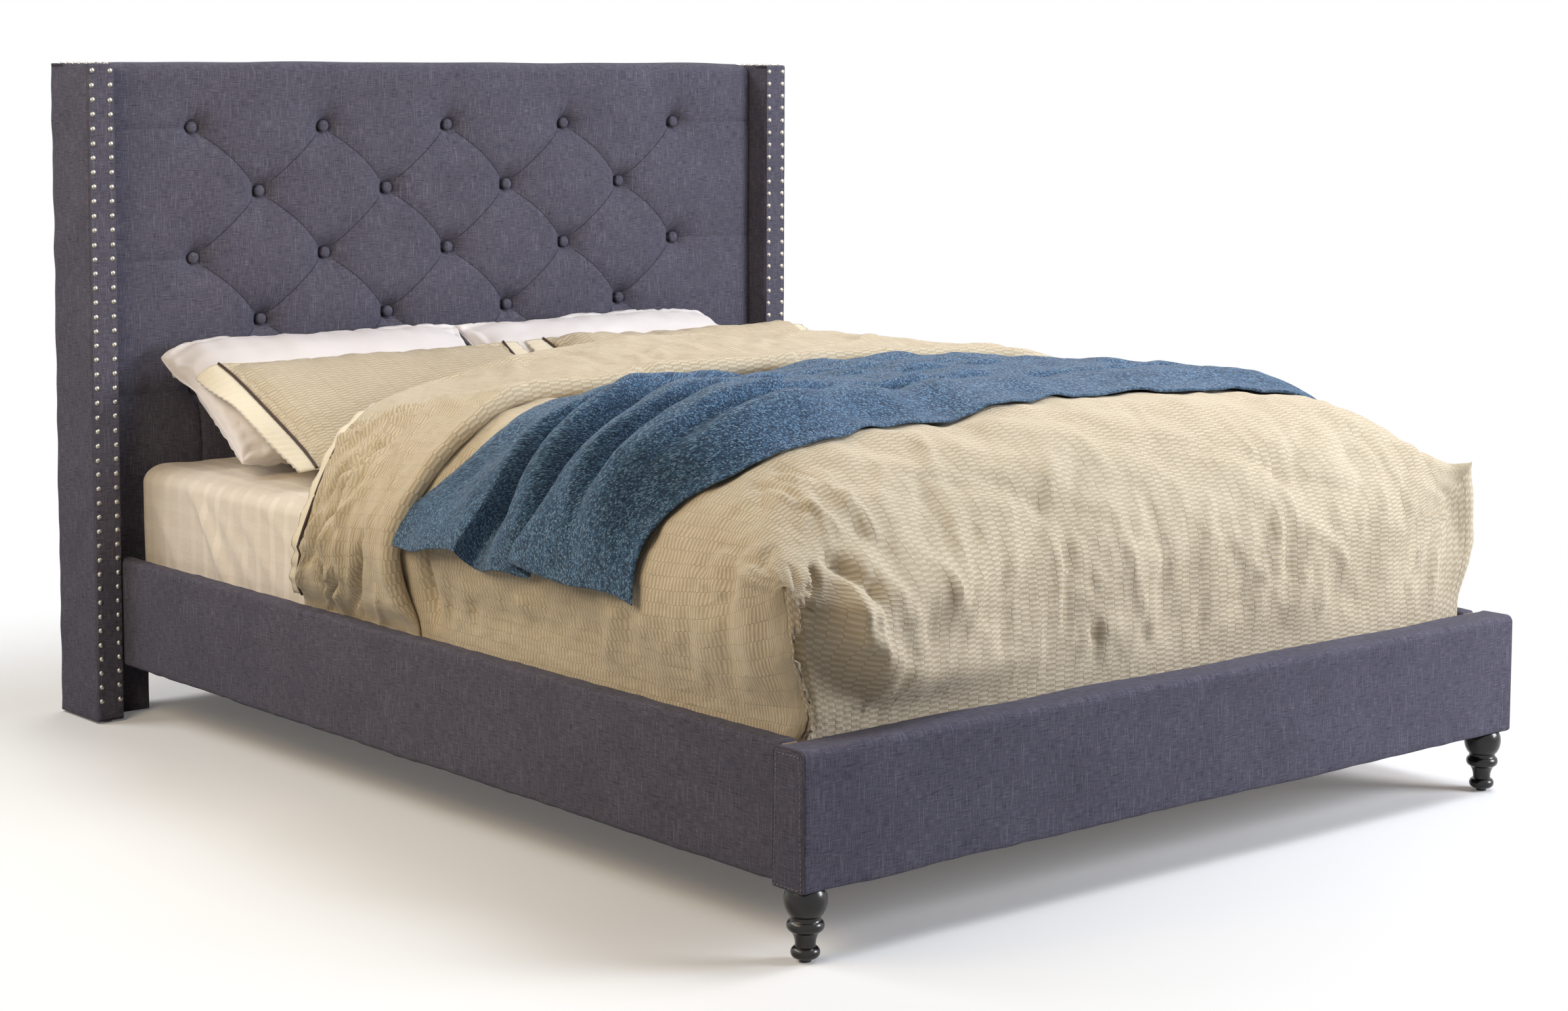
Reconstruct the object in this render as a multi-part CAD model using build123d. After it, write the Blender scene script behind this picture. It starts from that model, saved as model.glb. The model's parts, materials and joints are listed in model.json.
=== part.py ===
from build123d import *
import math
import os

# A queen-size wingback bed: a button-tufted headboard between two deep wings with nailhead trim,
# wrapped side rails, a low wrapped footboard on turned front legs, a slat base with a centre beam,
# and the mattress, comforter, throw and pillows that it is shown with.
# Millimetres. +X is to the right seen from the foot, +Y runs to the headboard, +Z is up.
# The origin is on the floor, in the middle of the bed's outline.

os.makedirs("parts", exist_ok=True)

# Driving dimensions of the whole bed
BED_WIDTH = 1756.0
BED_LENGTH = 2234.0
WING_HEIGHT = 1291.0
HEADBOARD_RISE = 4.0
WING_THICK = 58.0
WING_DEPTH = 160.0
PAD_SETBACK = 106.0
FOOTBOARD_WIDTH = 1668.0
FOOTBOARD_THICK = 72.0
RAIL_BOTTOM = 109.0
RAIL_TOP = 320.0
RAIL_THICK = 36.0
RAIL_GAP = 2.0
GLIDE_HEIGHT = 5.0
CLEAR = 0.3

# Upholstery and boards
COVER = 4.0
FOOT_COVER = 6.0
FRAME_BAR = 35.0
PLY = 12.0
BACK_CLOTH = 1.5
BASE_TOP = 330.0
STILE_WIDTH = 74.0
CROSSBAR_HEIGHT = 60.0

# Tufting: five buttons in rows one, three and five, four in the rows between
BUTTON_SPACING = 305.5
BUTTON_ROW_TOP = 1164.0
BUTTON_ROW_PITCH = 131.0
BUTTON_ROWS = 5
BUTTON_RADIUS = 11.5
BUTTON_HEIGHT = 9.0
TUFT_DEPTH = 30.0
TUFT_RADIUS = 42.0
PLEAT_DEPTH = 7.0
PLEAT_WIDTH = 14.0

# Nailheads
NAIL_RADIUS = 5.5
NAIL_HEIGHT = 3.2
NAIL_PITCH = 28.0
NAIL_INSET = 10.0

# Slat base
LEDGER = 25.0
LEDGER_HEIGHT = 30.0
SLAT_BOTTOM = 205.0
SLAT_THICK = 18.0
SLAT_WIDTH = 70.0
SLAT_PITCH = 155.0
SLAT_COUNT = 13
BEAM_WIDTH = 60.0
BEAM_HEIGHT = 50.0
CENTRE_LEG_PITCH = 640.0
CENTRE_LEG_WIDTH = 44.0
CENTRE_LEG_BOTTOM = 25.0
STEEL = 4.0
STRAP_STEEL = 2.0

# Levelling feet
LEVEL_PAD_RADIUS = 16.0
LEVEL_PAD_HEIGHT = 11.0
STUD_RADIUS = 4.0
STUD_TOP = 60.0
STUD_CLEAR = 0.05
INSERT_RADIUS = 7.0
INSERT_LENGTH = 20.0

# Turned front legs
LEG_INSET_X = 34.0
LEG_INSET_Y = 35.0

# Mattress and bedding
MATTRESS_WIDTH = 1524.0
MATTRESS_LENGTH = 2030.0
MATTRESS_HEIGHT = 276.0
MATTRESS_ROUND = 34.0
SHEET = 1.7
HEM_HEIGHT = 300.0

# Places worked out from the driving dimensions
BACK_Y = BED_LENGTH / 2
FOOT_Y = -BED_LENGTH / 2
SIDE_X = BED_WIDTH / 2
WING_IN = SIDE_X - WING_THICK
WING_FRONT = BACK_Y - WING_DEPTH
PAD_FRONT = BACK_Y - PAD_SETBACK
PAD_SIDE = WING_IN - 0.5
PAD_TOP = WING_HEIGHT + HEADBOARD_RISE
FRAME_TOP = PAD_TOP - 10.0
FRAME_BACK = BACK_Y - BACK_CLOTH
PLY_BACK = FRAME_BACK - FRAME_BAR
PLY_FRONT = PLY_BACK - PLY
STILE_OUT = WING_IN - 5.0
STILE_IN = STILE_OUT - STILE_WIDTH
RAIL_OUT = WING_IN - RAIL_GAP
RAIL_IN = RAIL_OUT - RAIL_THICK
FOOT_BACK = FOOT_Y + FOOTBOARD_THICK
FOOT_SIDE = FOOTBOARD_WIDTH / 2
LEG_X = FOOT_SIDE - LEG_INSET_X
LEG_Y = FOOT_Y + LEG_INSET_Y
SLAT_TOP = SLAT_BOTTOM + SLAT_THICK
MATTRESS_BOTTOM = SLAT_TOP + 0.5
MATTRESS_TOP = MATTRESS_BOTTOM + MATTRESS_HEIGHT
MATTRESS_HEAD = PAD_FRONT - 11.0
MATTRESS_FOOT = MATTRESS_HEAD - MATTRESS_LENGTH
BED_TOP = MATTRESS_TOP + SHEET

written = []


def save(node, shape):
    """Writes one node's solids to its own STEP file."""
    solids = shape.solids()
    part = solids[0] if len(solids) == 1 else Compound(children=list(solids))
    part.label = node
    export_step(part, f"parts/{node}.step")
    written.append(node)
    print(node, len(solids), round(sum(s.volume for s in solids) / 1000), "cm3")


def block(x0, x1, y0, y1, z0, z1):
    """A box between two corners."""
    return Pos((x0 + x1) / 2, (y0 + y1) / 2, (z0 + z1) / 2) * Box(abs(x1 - x0), abs(y1 - y0), abs(z1 - z0))


def mirror_x(shape):
    """The same piece on the other side of the bed."""
    return mirror(shape, about=Plane.YZ)


def both_sides(shape):
    """A piece and its mirror image as separate solids of one group."""
    return group([shape, mirror_x(shape)])


def group(shapes):
    """Separate solids held together as one node."""
    return Compound(children=[solid for shape in shapes for solid in shape.solids()])


def rod(start, end, radius):
    """A round bar from one point to another."""
    axis = Vector(*end) - Vector(*start)
    middle = (Vector(*start) + Vector(*end)) * 0.5
    turn = Plane(origin=middle, z_dir=axis)
    return turn * Cylinder(radius, axis.length)


def bolt(start, end, radius, head_radius, head_length):
    """A bolt or screw with a round head: its head ends at start, and its shank runs to end."""
    axis = (Vector(*end) - Vector(*start)).normalized()
    under_head = Vector(*start) + axis * head_length
    head = rod(start, tuple(under_head), head_radius)
    return head + rod(tuple(under_head), end, radius)


def drilled(shape, fasteners):
    """The piece with holes for the fasteners that pass through it."""
    for fastener in fasteners:
        shape = shape - fastener
    return shape


def edges_along(shape, axis, where):
    """The edges parallel to an axis whose middle passes a test."""
    return [edge for edge in shape.edges().filter_by(axis) if where(edge.center())]


# Headboard

def button_centres():
    """The middle of every tuft, row by row from the top."""
    centres = []
    for row in range(BUTTON_ROWS):
        count = 5 if row % 2 == 0 else 4
        z = BUTTON_ROW_TOP - row * BUTTON_ROW_PITCH
        centres += [((i - (count - 1) / 2) * BUTTON_SPACING, z) for i in range(count)]
    return centres


def pleat(x0, z0, x1, z1):
    """A V-shaped channel sewn into the pad's front from one point to another."""
    along = Vector(x1 - x0, 0, z1 - z0)
    middle = Vector((x0 + x1) / 2, PAD_FRONT, (z0 + z1) / 2)
    plane = Plane(origin=middle - along * 0.5, x_dir=(0, 1, 0), z_dir=along)
    wedge = plane * make_face(Polyline((-0.1, -PLEAT_WIDTH / 2), (PLEAT_DEPTH, 0), (-0.1, PLEAT_WIDTH / 2),
                                       close=True))
    return extrude(wedge, amount=along.length, dir=along.normalized())


def pleat_lines():
    """The ends of every pleat: diagonals between buttons, and straight ones out to the edges."""
    half, pitch = BUTTON_SPACING / 2, BUTTON_ROW_PITCH
    lines = []
    for row in range(BUTTON_ROWS - 1):
        z = BUTTON_ROW_TOP - row * pitch
        count = 5 if row % 2 == 0 else 4
        for i in range(count):
            x = (i - (count - 1) / 2) * BUTTON_SPACING
            for step in (-half, half):
                if abs(x + step) < 2.1 * BUTTON_SPACING:
                    lines.append((x, z, x + step, z - pitch))
    for i in range(5):
        x = (i - 2) * BUTTON_SPACING
        lines.append((x, BUTTON_ROW_TOP, x, PAD_TOP + 5))
        lines.append((x, BUTTON_ROW_TOP - 4 * pitch, x, BASE_TOP - 5))
    for row in (0, 2, 4):
        z = BUTTON_ROW_TOP - row * pitch
        for side in (-1, 1):
            lines.append((side * 2 * BUTTON_SPACING, z, side * (PAD_SIDE + 5), z))
    return lines


def headboard_pad():
    """The tufted front upholstery: foam and cover in one soft solid that wraps over the frame's top."""
    pad = block(-PAD_SIDE, PAD_SIDE, PAD_FRONT, PLY_FRONT, BASE_TOP, PAD_TOP)
    pad += block(-PAD_SIDE, PAD_SIDE, PLY_FRONT, BACK_Y, FRAME_TOP, PAD_TOP)
    front_top = edges_along(pad, Axis.X, lambda c: c.Z > PAD_TOP - 1 and c.Y < PAD_FRONT + 1)
    pad = fillet(front_top, 26.0)
    back_top = edges_along(pad, Axis.X, lambda c: c.Z > PAD_TOP - 1 and c.Y > BACK_Y - 1)
    pad = fillet(back_top, 6.0)
    for line in pleat_lines():
        pad = pad - pleat(*line)
    tuft = Cone(TUFT_RADIUS, BUTTON_RADIUS + 1.5, TUFT_DEPTH)
    for x, z in button_centres():
        pad = pad - Pos(x, PAD_FRONT + TUFT_DEPTH / 2, z) * Rot(-90, 0, 0) * tuft
    return pad


def turned_dome(rim):
    """A low dome turned on Z, from the (radius, height) points of its rim up to a small flat on top."""
    outline = Polyline((0, 0), *rim, (0, rim[-1][1]), close=True)
    return revolve(Plane.XZ * make_face(outline), Axis.Z)


def tuft_buttons():
    """Cloth-covered buttons, each a domed disc at the bottom of its tuft."""
    button = turned_dome([(BUTTON_RADIUS, 0), (BUTTON_RADIUS, 3.0), (BUTTON_RADIUS * 0.9, 5.4),
                          (BUTTON_RADIUS * 0.66, 7.4), (BUTTON_RADIUS * 0.34, BUTTON_HEIGHT - 0.4),
                          (BUTTON_RADIUS * 0.12, BUTTON_HEIGHT)])
    seat = PAD_FRONT + TUFT_DEPTH
    return group([Pos(x, seat, z) * Rot(90, 0, 0) * button for x, z in button_centres()])


def headboard_bolts():
    """Bolts from inside each stile into the wing beside it."""
    y = FRAME_BACK - FRAME_BAR / 2
    start, end = STILE_IN - 5.0, SIDE_X - 24.0
    right = [bolt((start, y, z), (end, y, z), 4.0, 8.0, 5.0) for z in (300.0, 560.0, 1150.0)]
    return group(right + [mirror_x(item) for item in right])


# Wings

def wing_core():
    """The right wing's wooden core."""
    return block(WING_IN + COVER, SIDE_X - COVER, WING_FRONT + COVER, BACK_Y - COVER, GLIDE_HEIGHT,
                 WING_HEIGHT - COVER)


def wing_cover():
    """The right wing's padded cover, open at the floor."""
    shell = block(WING_IN, SIDE_X, WING_FRONT, BACK_Y, GLIDE_HEIGHT, WING_HEIGHT)
    shell = fillet(shell.edges().filter_by(Axis.Z), 5.0)
    shell = fillet(shell.faces().sort_by(Axis.Z)[-1].edges(), 3.5)
    return shell - wing_core()


def nail_dome():
    """A domed nailhead on the plane z=0."""
    return turned_dome([(NAIL_RADIUS, 0), (NAIL_RADIUS * 0.9, 1.3), (NAIL_RADIUS * 0.66, 2.3),
                        (NAIL_RADIUS * 0.34, NAIL_HEIGHT - 0.25), (NAIL_RADIUS * 0.12, NAIL_HEIGHT)])


def wing_nailheads():
    """Two columns down the right wing's front face and two rows back along its top."""
    dome = nail_dome()
    columns = (WING_IN + NAIL_INSET, SIDE_X - NAIL_INSET)
    count = int((WING_HEIGHT - 40.0) // NAIL_PITCH)
    nails = []
    for x in columns:
        for i in range(count + 1):
            z = WING_HEIGHT - 14.0 - i * NAIL_PITCH
            nails.append(Pos(x, WING_FRONT, z) * Rot(90, 0, 0) * dome)
        for i in range(5):
            nails.append(Pos(x, WING_FRONT + 16.0 + i * NAIL_PITCH, WING_HEIGHT) * dome)
    return group(nails)


def glides(places, radius):
    """Round nylon glides, one under each place."""
    return group([Pos(x, y, GLIDE_HEIGHT / 2) * Cylinder(radius, GLIDE_HEIGHT) for x, y in places])


# Rails and footboard

def side_rail_cover(fasteners):
    """The right rail's padded cover, a sleeve round the board."""
    sleeve = block(RAIL_IN, RAIL_OUT, FOOT_BACK + CLEAR, PAD_FRONT - CLEAR, RAIL_BOTTOM, RAIL_TOP)
    sleeve = fillet(sleeve.edges().filter_by(Axis.Y), 6.0)
    return drilled(sleeve - side_rail_board(), fasteners)


def side_rail_board():
    """The right rail's board, before its holes."""
    return block(RAIL_IN + COVER, RAIL_OUT - COVER, FOOT_BACK + CLEAR, PAD_FRONT - CLEAR,
                 RAIL_BOTTOM + COVER, RAIL_TOP - COVER)


def corner_bracket(face_y, into):
    """A steel angle in the right corner: one flange on the rail, one on the end at face_y."""
    flange = 70.0
    low, high = 130.0, 200.0
    on_rail = block(RAIL_IN - STEEL, RAIL_IN, face_y, face_y + into * flange, low, high)
    on_end = block(RAIL_IN - flange, RAIL_IN - STEEL, face_y, face_y + into * STEEL, low, high)
    return on_rail + on_end


def corner_bolts(face_y, into, depth):
    """Four bolts of one right corner bracket, two through the rail and two into the end."""
    bolts = []
    for z in (145.0, 185.0):
        y = face_y + into * 48.0
        x = RAIL_IN - 20.0
        bolts.append(bolt((RAIL_IN - STEEL - 5.0, y, z), (RAIL_OUT - 8.0, y, z), 4.0, 8.0, 5.0))
        head = face_y + into * (STEEL + 5.0)
        bolts.append(bolt((x, head, z), (x, face_y - into * depth, z), 4.0, 8.0, 5.0))
    return bolts


def footboard_cover():
    """The footboard's padded cover, with a soft rounded top and ends."""
    shell = block(-FOOT_SIDE, FOOT_SIDE, FOOT_Y, FOOT_BACK, RAIL_BOTTOM, RAIL_TOP)
    shell = fillet(shell.edges().filter_by(Axis.Z), 9.0)
    shell = fillet(shell.faces().sort_by(Axis.Z)[-1].edges(), 8.5)
    inside = block(-FOOT_SIDE + FOOT_COVER, FOOT_SIDE - FOOT_COVER, FOOT_Y + FOOT_COVER, FOOT_BACK - FOOT_COVER,
                   RAIL_BOTTOM + FOOT_COVER, RAIL_TOP - FOOT_COVER)
    return shell - inside


def footboard_board(y0, y1):
    """One of the two boards of the footboard's core."""
    edge = FOOT_SIDE - FOOT_COVER
    return block(-edge, edge, y0, y1, RAIL_BOTTOM + FOOT_COVER, RAIL_TOP - FOOT_COVER)


def front_leg():
    """A turned leg on its own axis, from the top of its glide to the footboard's underside."""
    foot, top = GLIDE_HEIGHT, RAIL_BOTTOM
    outline = [
        Line((0, foot), (13.0, foot)),
        ThreePointArc((13.0, foot), (21.8, foot + 9.0), (15.5, foot + 18.0)),
        ThreePointArc((15.5, foot + 18.0), (16.6, foot + 30.0), (21.0, foot + 39.0)),
        Line((21.0, foot + 39.0), (24.0, foot + 41.0)),
        ThreePointArc((24.0, foot + 41.0), (28.0, foot + 49.0), (24.0, foot + 57.0)),
        ThreePointArc((24.0, foot + 57.0), (23.0, foot + 61.0), (25.5, foot + 65.0)),
        ThreePointArc((25.5, foot + 65.0), (32.5, foot + 87.0), (28.0, top)),
        Line((28.0, top), (0, top)),
        Line((0, top), (0, foot)),
    ]
    return revolve(Plane.XZ * make_face(outline), Axis.Z)


# Mattress and bedding

def rounded_slab(x_half, y0, y1, z0, z1, corner, edge):
    """A soft slab with rounded corners and edges."""
    slab = block(-x_half, x_half, y0, y1, z0, z1)
    slab = fillet(slab.edges().filter_by(Axis.Z), corner)
    return fillet(slab.faces().sort_by(Axis.Z)[-1].edges() + slab.faces().sort_by(Axis.Z)[0].edges(), edge)


def mattress():
    """The mattress with its rounded borders."""
    return rounded_slab(MATTRESS_WIDTH / 2, MATTRESS_FOOT, MATTRESS_HEAD, MATTRESS_BOTTOM, MATTRESS_TOP,
                        60.0, MATTRESS_ROUND)


def fitted_sheet():
    """A thin skin over the mattress that wraps a little under its edge and is open below."""
    skin = rounded_slab(MATTRESS_WIDTH / 2 + SHEET, MATTRESS_FOOT - SHEET, MATTRESS_HEAD + SHEET,
                        MATTRESS_BOTTOM - SHEET, BED_TOP, 60.0 + SHEET, MATTRESS_ROUND + SHEET)
    return skin - mattress() - block(-900, 900, -1200, 1200, 0, MATTRESS_BOTTOM + MATTRESS_ROUND * 0.5)


# The comforter along the bed: place, crown height, how far its sides bulge, the fold's extra thickness,
# and the share of its height that rolls over from side to top
COMFORTER = [
    (-1043.5, 470.0, 780.5, 0.0, 0.34),
    (-1036.0, 530.0, 790.0, 0.0, 0.34),
    (-1015.0, 580.0, 802.0, 0.0, 0.36),
    (-980.0, 617.0, 810.0, 0.0, 0.40),
    (-900.0, 662.0, 815.0, 0.0, 0.46),
    (-760.0, 694.0, 816.0, 0.0, 0.52),
    (-450.0, 714.0, 815.0, 0.0, 0.56),
    (-72.0, 718.0, 811.0, 0.0, 0.56),
    (-68.0, 718.0, 811.0, 15.0, 0.56),
    (220.0, 726.0, 811.0, 17.0, 0.56),
    (400.0, 722.0, 810.0, 15.0, 0.56),
    (440.0, 704.0, 808.0, 8.0, 0.56),
    (458.0, 664.0, 800.0, 0.0, 0.56),
]


def comforter_at(y):
    """The row of figures at a place along the bed, on straight lines between the rows."""
    for (y0, *low), (y1, *high) in zip(COMFORTER, COMFORTER[1:]):
        if y0 <= y <= y1:
            share = (y - y0) / (y1 - y0)
            return [a + (b - a) * share for a, b in zip(low, high)]
    return COMFORTER[-1][1:]


def comforter_section(y, grow=0.0):
    """The comforter's outer outline across the bed, with its hems inside the rails."""
    crown, bulge, fold, rolled = comforter_at(y)
    extra = fold + grow
    top = crown + extra
    hem_x, rail_z = RAIL_IN - 2.0, RAIL_TOP + 6.0
    side_x = bulge + extra * 0.5
    roll_z = top - 0.05 * (top - rail_z)
    radius = rolled * (top - rail_z)
    roll_x, widest_z = side_x - radius, roll_z - radius
    lean = ((hem_x + 3 * side_x) / 4, (rail_z + widest_z) / 2)
    shoulder = (roll_x + radius * math.sqrt(0.5), widest_z + radius * math.sqrt(0.5))

    def at(side, point):
        return (side * point[0], y, point[1])

    hem, rail = (hem_x, HEM_HEIGHT), (hem_x, rail_z)
    widest, roll = (side_x, widest_z), (roll_x, roll_z)
    edges = [Line(at(-1, hem), at(-1, rail)),
             ThreePointArc(at(-1, rail), at(-1, lean), at(-1, widest)),
             ThreePointArc(at(-1, widest), at(-1, shoulder), at(-1, roll)),
             ThreePointArc(at(-1, roll), at(1, (0, top)), at(1, roll)),
             ThreePointArc(at(1, roll), at(1, shoulder), at(1, widest)),
             ThreePointArc(at(1, widest), at(1, lean), at(1, rail)),
             Line(at(1, rail), at(1, hem)),
             Line(at(1, hem), at(-1, hem))]
    return Face(Wire(edges))


def plan_prism(points, z0=0.0, z1=1000.0):
    """A tall prism on an outline seen from above."""
    return extrude(Pos(0, 0, z0) * make_face(Polyline(*points, close=True)), amount=z1 - z0)


def bed_space():
    """The room that the made-up mattress takes, with a little clearance."""
    return block(-MATTRESS_WIDTH / 2 - 4, MATTRESS_WIDTH / 2 + 4, MATTRESS_FOOT - SHEET - 1.5, 1200,
                 200, BED_TOP + 1.5)


def comforter():
    """The thick comforter, folded back at the head, with its sides and foot tucked inside the rails."""
    form = loft([comforter_section(row[0]) for row in COMFORTER], ruled=True)
    slant = [(-430, 480), (-430, 456), (-900, 270), (-900, 480)]
    form = form - plan_prism(slant) - plan_prism([(-x, y) for x, y in slant])
    return form - bed_space()


# The throw's long folds across the bed: place, and how far that ridge or valley stands off the comforter
THROW_FOLDS = [(-822.0, 9.0), (-770.0, 20.0), (-725.0, 9.0), (-665.0, 24.0), (-600.0, 9.0), (-520.0, 17.0),
               (-455.0, 9.0), (-390.0, 27.0), (-330.0, 10.0), (-255.0, 22.0), (-195.0, 9.0), (-130.0, 25.0),
               (-72.0, 9.0), (-68.0, 9.0), (-20.0, 21.0), (35.0, 9.0), (85.0, 15.0)]
THROW_OUTLINE = [(-900, 12), (-900, -660), (-728, -706), (-640, -790), (-520, -800), (-230, -762), (240, -690),
                 (560, -708), (775, -805), (775, 30), (590, 52), (140, 84), (-132, 62), (-378, 0), (-550, -100),
                 (-705, -190), (-762, -150)]
THROW_HEM = 484.0


def throw():
    """The knitted throw laid across the comforter, one end hanging down the near side."""
    outer = loft([comforter_section(y, height) for y, height in THROW_FOLDS], ruled=True)
    rows = sorted({y for y, _ in THROW_FOLDS} | {row[0] for row in COMFORTER if -822 < row[0] < 85})
    inner = loft([comforter_section(y, 2.5) for y in rows], ruled=True)
    form = outer - inner
    form = form & plan_prism(THROW_OUTLINE, THROW_HEM, 900.0)
    return max(form.solids(), key=lambda solid: solid.volume)


def pillow(length, height, thick, end_thick, drawn_in):
    """A stuffed pillow lying flat: crowned in the middle, thin along its seam, drawn in between its corners."""
    stations = ((-1.0, end_thick, 1.0), (-0.88, 0.62 * thick, 0.985), (-0.5, 0.95 * thick, 0.975 - drawn_in / 2),
                (0.0, thick, 0.97 - drawn_in), (0.5, 0.95 * thick, 0.975 - drawn_in / 2),
                (0.88, 0.62 * thick, 0.985), (1.0, end_thick, 1.0))
    sections = []
    for place, depth, width in stations:
        x = place * length / 2
        half = height / 2 * width
        upper = ThreePointArc((x, -half, 0), (x, 0, depth / 2), (x, half, 0))
        lower = ThreePointArc((x, half, 0), (x, 0, -depth / 2), (x, -half, 0))
        sections.append(Face(Wire([upper, lower])))
    return loft(sections)


def leaning(shape, x, low, high, turn=0.0):
    """Stands a flat pillow on its long edge: its lower edge goes to low and its upper towards high, in (y, z)."""
    tilt = math.degrees(math.atan2(high[1] - low[1], high[0] - low[0]))
    return Pos(x, (low[0] + high[0]) / 2, (low[1] + high[1]) / 2) * Rot(tilt, 0, 0) * Rot(0, 0, turn) * shape


def sham(length, height, thick, flange):
    """A pillow in a sham with a flat flange all round."""
    body = pillow(length - 2 * flange, height - 2 * flange, thick, 8.0, 0.02)
    border = extrude(RectangleRounded(length, height, 12.0), amount=2.5, both=True)
    return body + border


PILLOW_SIZE = (690.0, 372.0, 118.0)
PILLOW_LOW = (655.0, 536.0)
PILLOW_HIGH = (965.0, 738.0)
SHAM_SIZE = (768.0, 392.0, 84.0)
SHAM_LOW = (468.0, 548.0)
SHAM_HIGH = (806.0, 742.0)
SHAM_FLANGE = 42.0


def build_headboard():
    """The headboard's frame, board, upholstery, legs and bolts."""
    wing_bolts = headboard_bolts()
    stile = block(STILE_IN, STILE_OUT, PLY_BACK, FRAME_BACK, GLIDE_HEIGHT, FRAME_TOP)
    leg_block = block(STILE_IN, STILE_OUT, PAD_FRONT + COVER, PLY_BACK, GLIDE_HEIGHT, BASE_TOP - COVER)
    right_bolts = corner_bolts(PAD_FRONT, -1, 50.0)
    save("headboard_stiles", both_sides(drilled(stile, wing_bolts.solids())))
    save("headboard_leg_blocks", both_sides(drilled(leg_block, right_bolts)))
    bars = [block(-STILE_IN, STILE_IN, PLY_BACK, FRAME_BACK, z, z + CROSSBAR_HEIGHT)
            for z in (FRAME_TOP - CROSSBAR_HEIGHT, 660.0, RAIL_BOTTOM)]
    save("headboard_crossbars", group(bars))
    save("headboard_board", block(-STILE_OUT, STILE_OUT, PLY_FRONT, PLY_BACK, BASE_TOP - COVER + CLEAR, FRAME_TOP))
    save("headboard_base_board", block(-STILE_IN, STILE_IN, PAD_FRONT + COVER, PAD_FRONT + COVER + 22.0,
                                       RAIL_BOTTOM, BASE_TOP - COVER))
    base_cover = block(-PAD_SIDE, PAD_SIDE, PAD_FRONT, PAD_FRONT + COVER, RAIL_BOTTOM, BASE_TOP - CLEAR)
    base_cover = drilled(base_cover, right_bolts + [mirror_x(item) for item in right_bolts])
    save("headboard_base_cover", base_cover)
    sleeve = block(STILE_IN - COVER, PAD_SIDE, PAD_FRONT, FRAME_BACK, GLIDE_HEIGHT, RAIL_BOTTOM - CLEAR)
    sleeve = fillet(edges_along(sleeve, Axis.Z, lambda c: c.Y < PAD_FRONT + 1), 3.5)
    save("headboard_leg_sleeves", both_sides(sleeve - stile - leg_block))
    save("headboard_pad", headboard_pad())
    save("headboard_back_cloth", block(-STILE_OUT + 3, STILE_OUT - 3, FRAME_BACK, BACK_Y, RAIL_BOTTOM + 3,
                                       FRAME_TOP - 4))
    save("tuft_buttons", tuft_buttons())
    save("wing_bolts", wing_bolts)
    stile_y = (PAD_FRONT + FRAME_BACK) / 2
    save("headboard_leg_glides", glides([(side * (STILE_IN + STILE_OUT) / 2, stile_y) for side in (-1, 1)], 14.0))
    save("head_brackets", both_sides(drilled(corner_bracket(PAD_FRONT, -1), right_bolts)))
    save("head_bracket_bolts", both_sides(group(right_bolts)))


def build_wings():
    """Both wings with their covers, nailheads and glides."""
    bolts = headboard_bolts().solids()
    core = drilled(wing_core(), bolts)
    cover = drilled(wing_cover(), bolts)
    nails = wing_nailheads()
    for side, place in (("right", lambda shape: shape), ("left", mirror_x)):
        save(f"wing_core_{side}", place(core))
        save(f"wing_cover_{side}", place(cover))
        save(f"wing_nailheads_{side}", place(nails))
    middle = (WING_IN + SIDE_X) / 2
    spots = [(side * middle, y) for side in (-1, 1) for y in (WING_FRONT + 25, BACK_Y - 25)]
    save("wing_glides", glides(spots, 12.0))


def ledger_screws():
    """Screws through each ledger into its rail."""
    places = [(2 * i - 5.5) * SLAT_PITCH for i in range(6)]
    z = SLAT_BOTTOM - LEDGER_HEIGHT / 2
    return [bolt((RAIL_IN - LEDGER, y, z), (RAIL_IN + 22.0, y, z), 2.0, 4.0, 3.0) for y in places]


def slat_places():
    """The middle of every slat along the bed."""
    return [(i - (SLAT_COUNT - 1) / 2) * SLAT_PITCH for i in range(SLAT_COUNT)]


def slat_screws():
    """A screw at the right end of every slat, down into the ledger."""
    x = RAIL_IN - LEDGER / 2
    return [bolt((x, y, SLAT_TOP), (x, y, SLAT_BOTTOM - 16.0), 2.0, 4.5, 2.5) for y in slat_places()]


def build_rails():
    """The side rails with their covers, ledgers and corner brackets."""
    head, foot = corner_bolts(PAD_FRONT, -1, 50.0), corner_bolts(FOOT_BACK, 1, 48.0)
    screws, slat_fixings = ledger_screws(), slat_screws()
    board = drilled(side_rail_board(), head + foot + screws)
    cover = side_rail_cover(head + foot + screws)
    ledger = block(RAIL_IN - LEDGER, RAIL_IN, -968.0, 934.0, SLAT_BOTTOM - LEDGER_HEIGHT, SLAT_BOTTOM)
    ledger = drilled(ledger, screws + slat_fixings)
    for side, place in (("right", lambda shape: shape), ("left", mirror_x)):
        save(f"side_rail_board_{side}", place(board))
        save(f"side_rail_cover_{side}", place(cover))
        save(f"slat_ledger_{side}", place(ledger))
    save("ledger_screws", both_sides(group(screws)))
    save("foot_brackets", both_sides(drilled(corner_bracket(FOOT_BACK, 1), foot)))
    save("foot_bracket_bolts", both_sides(group(foot)))


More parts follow.
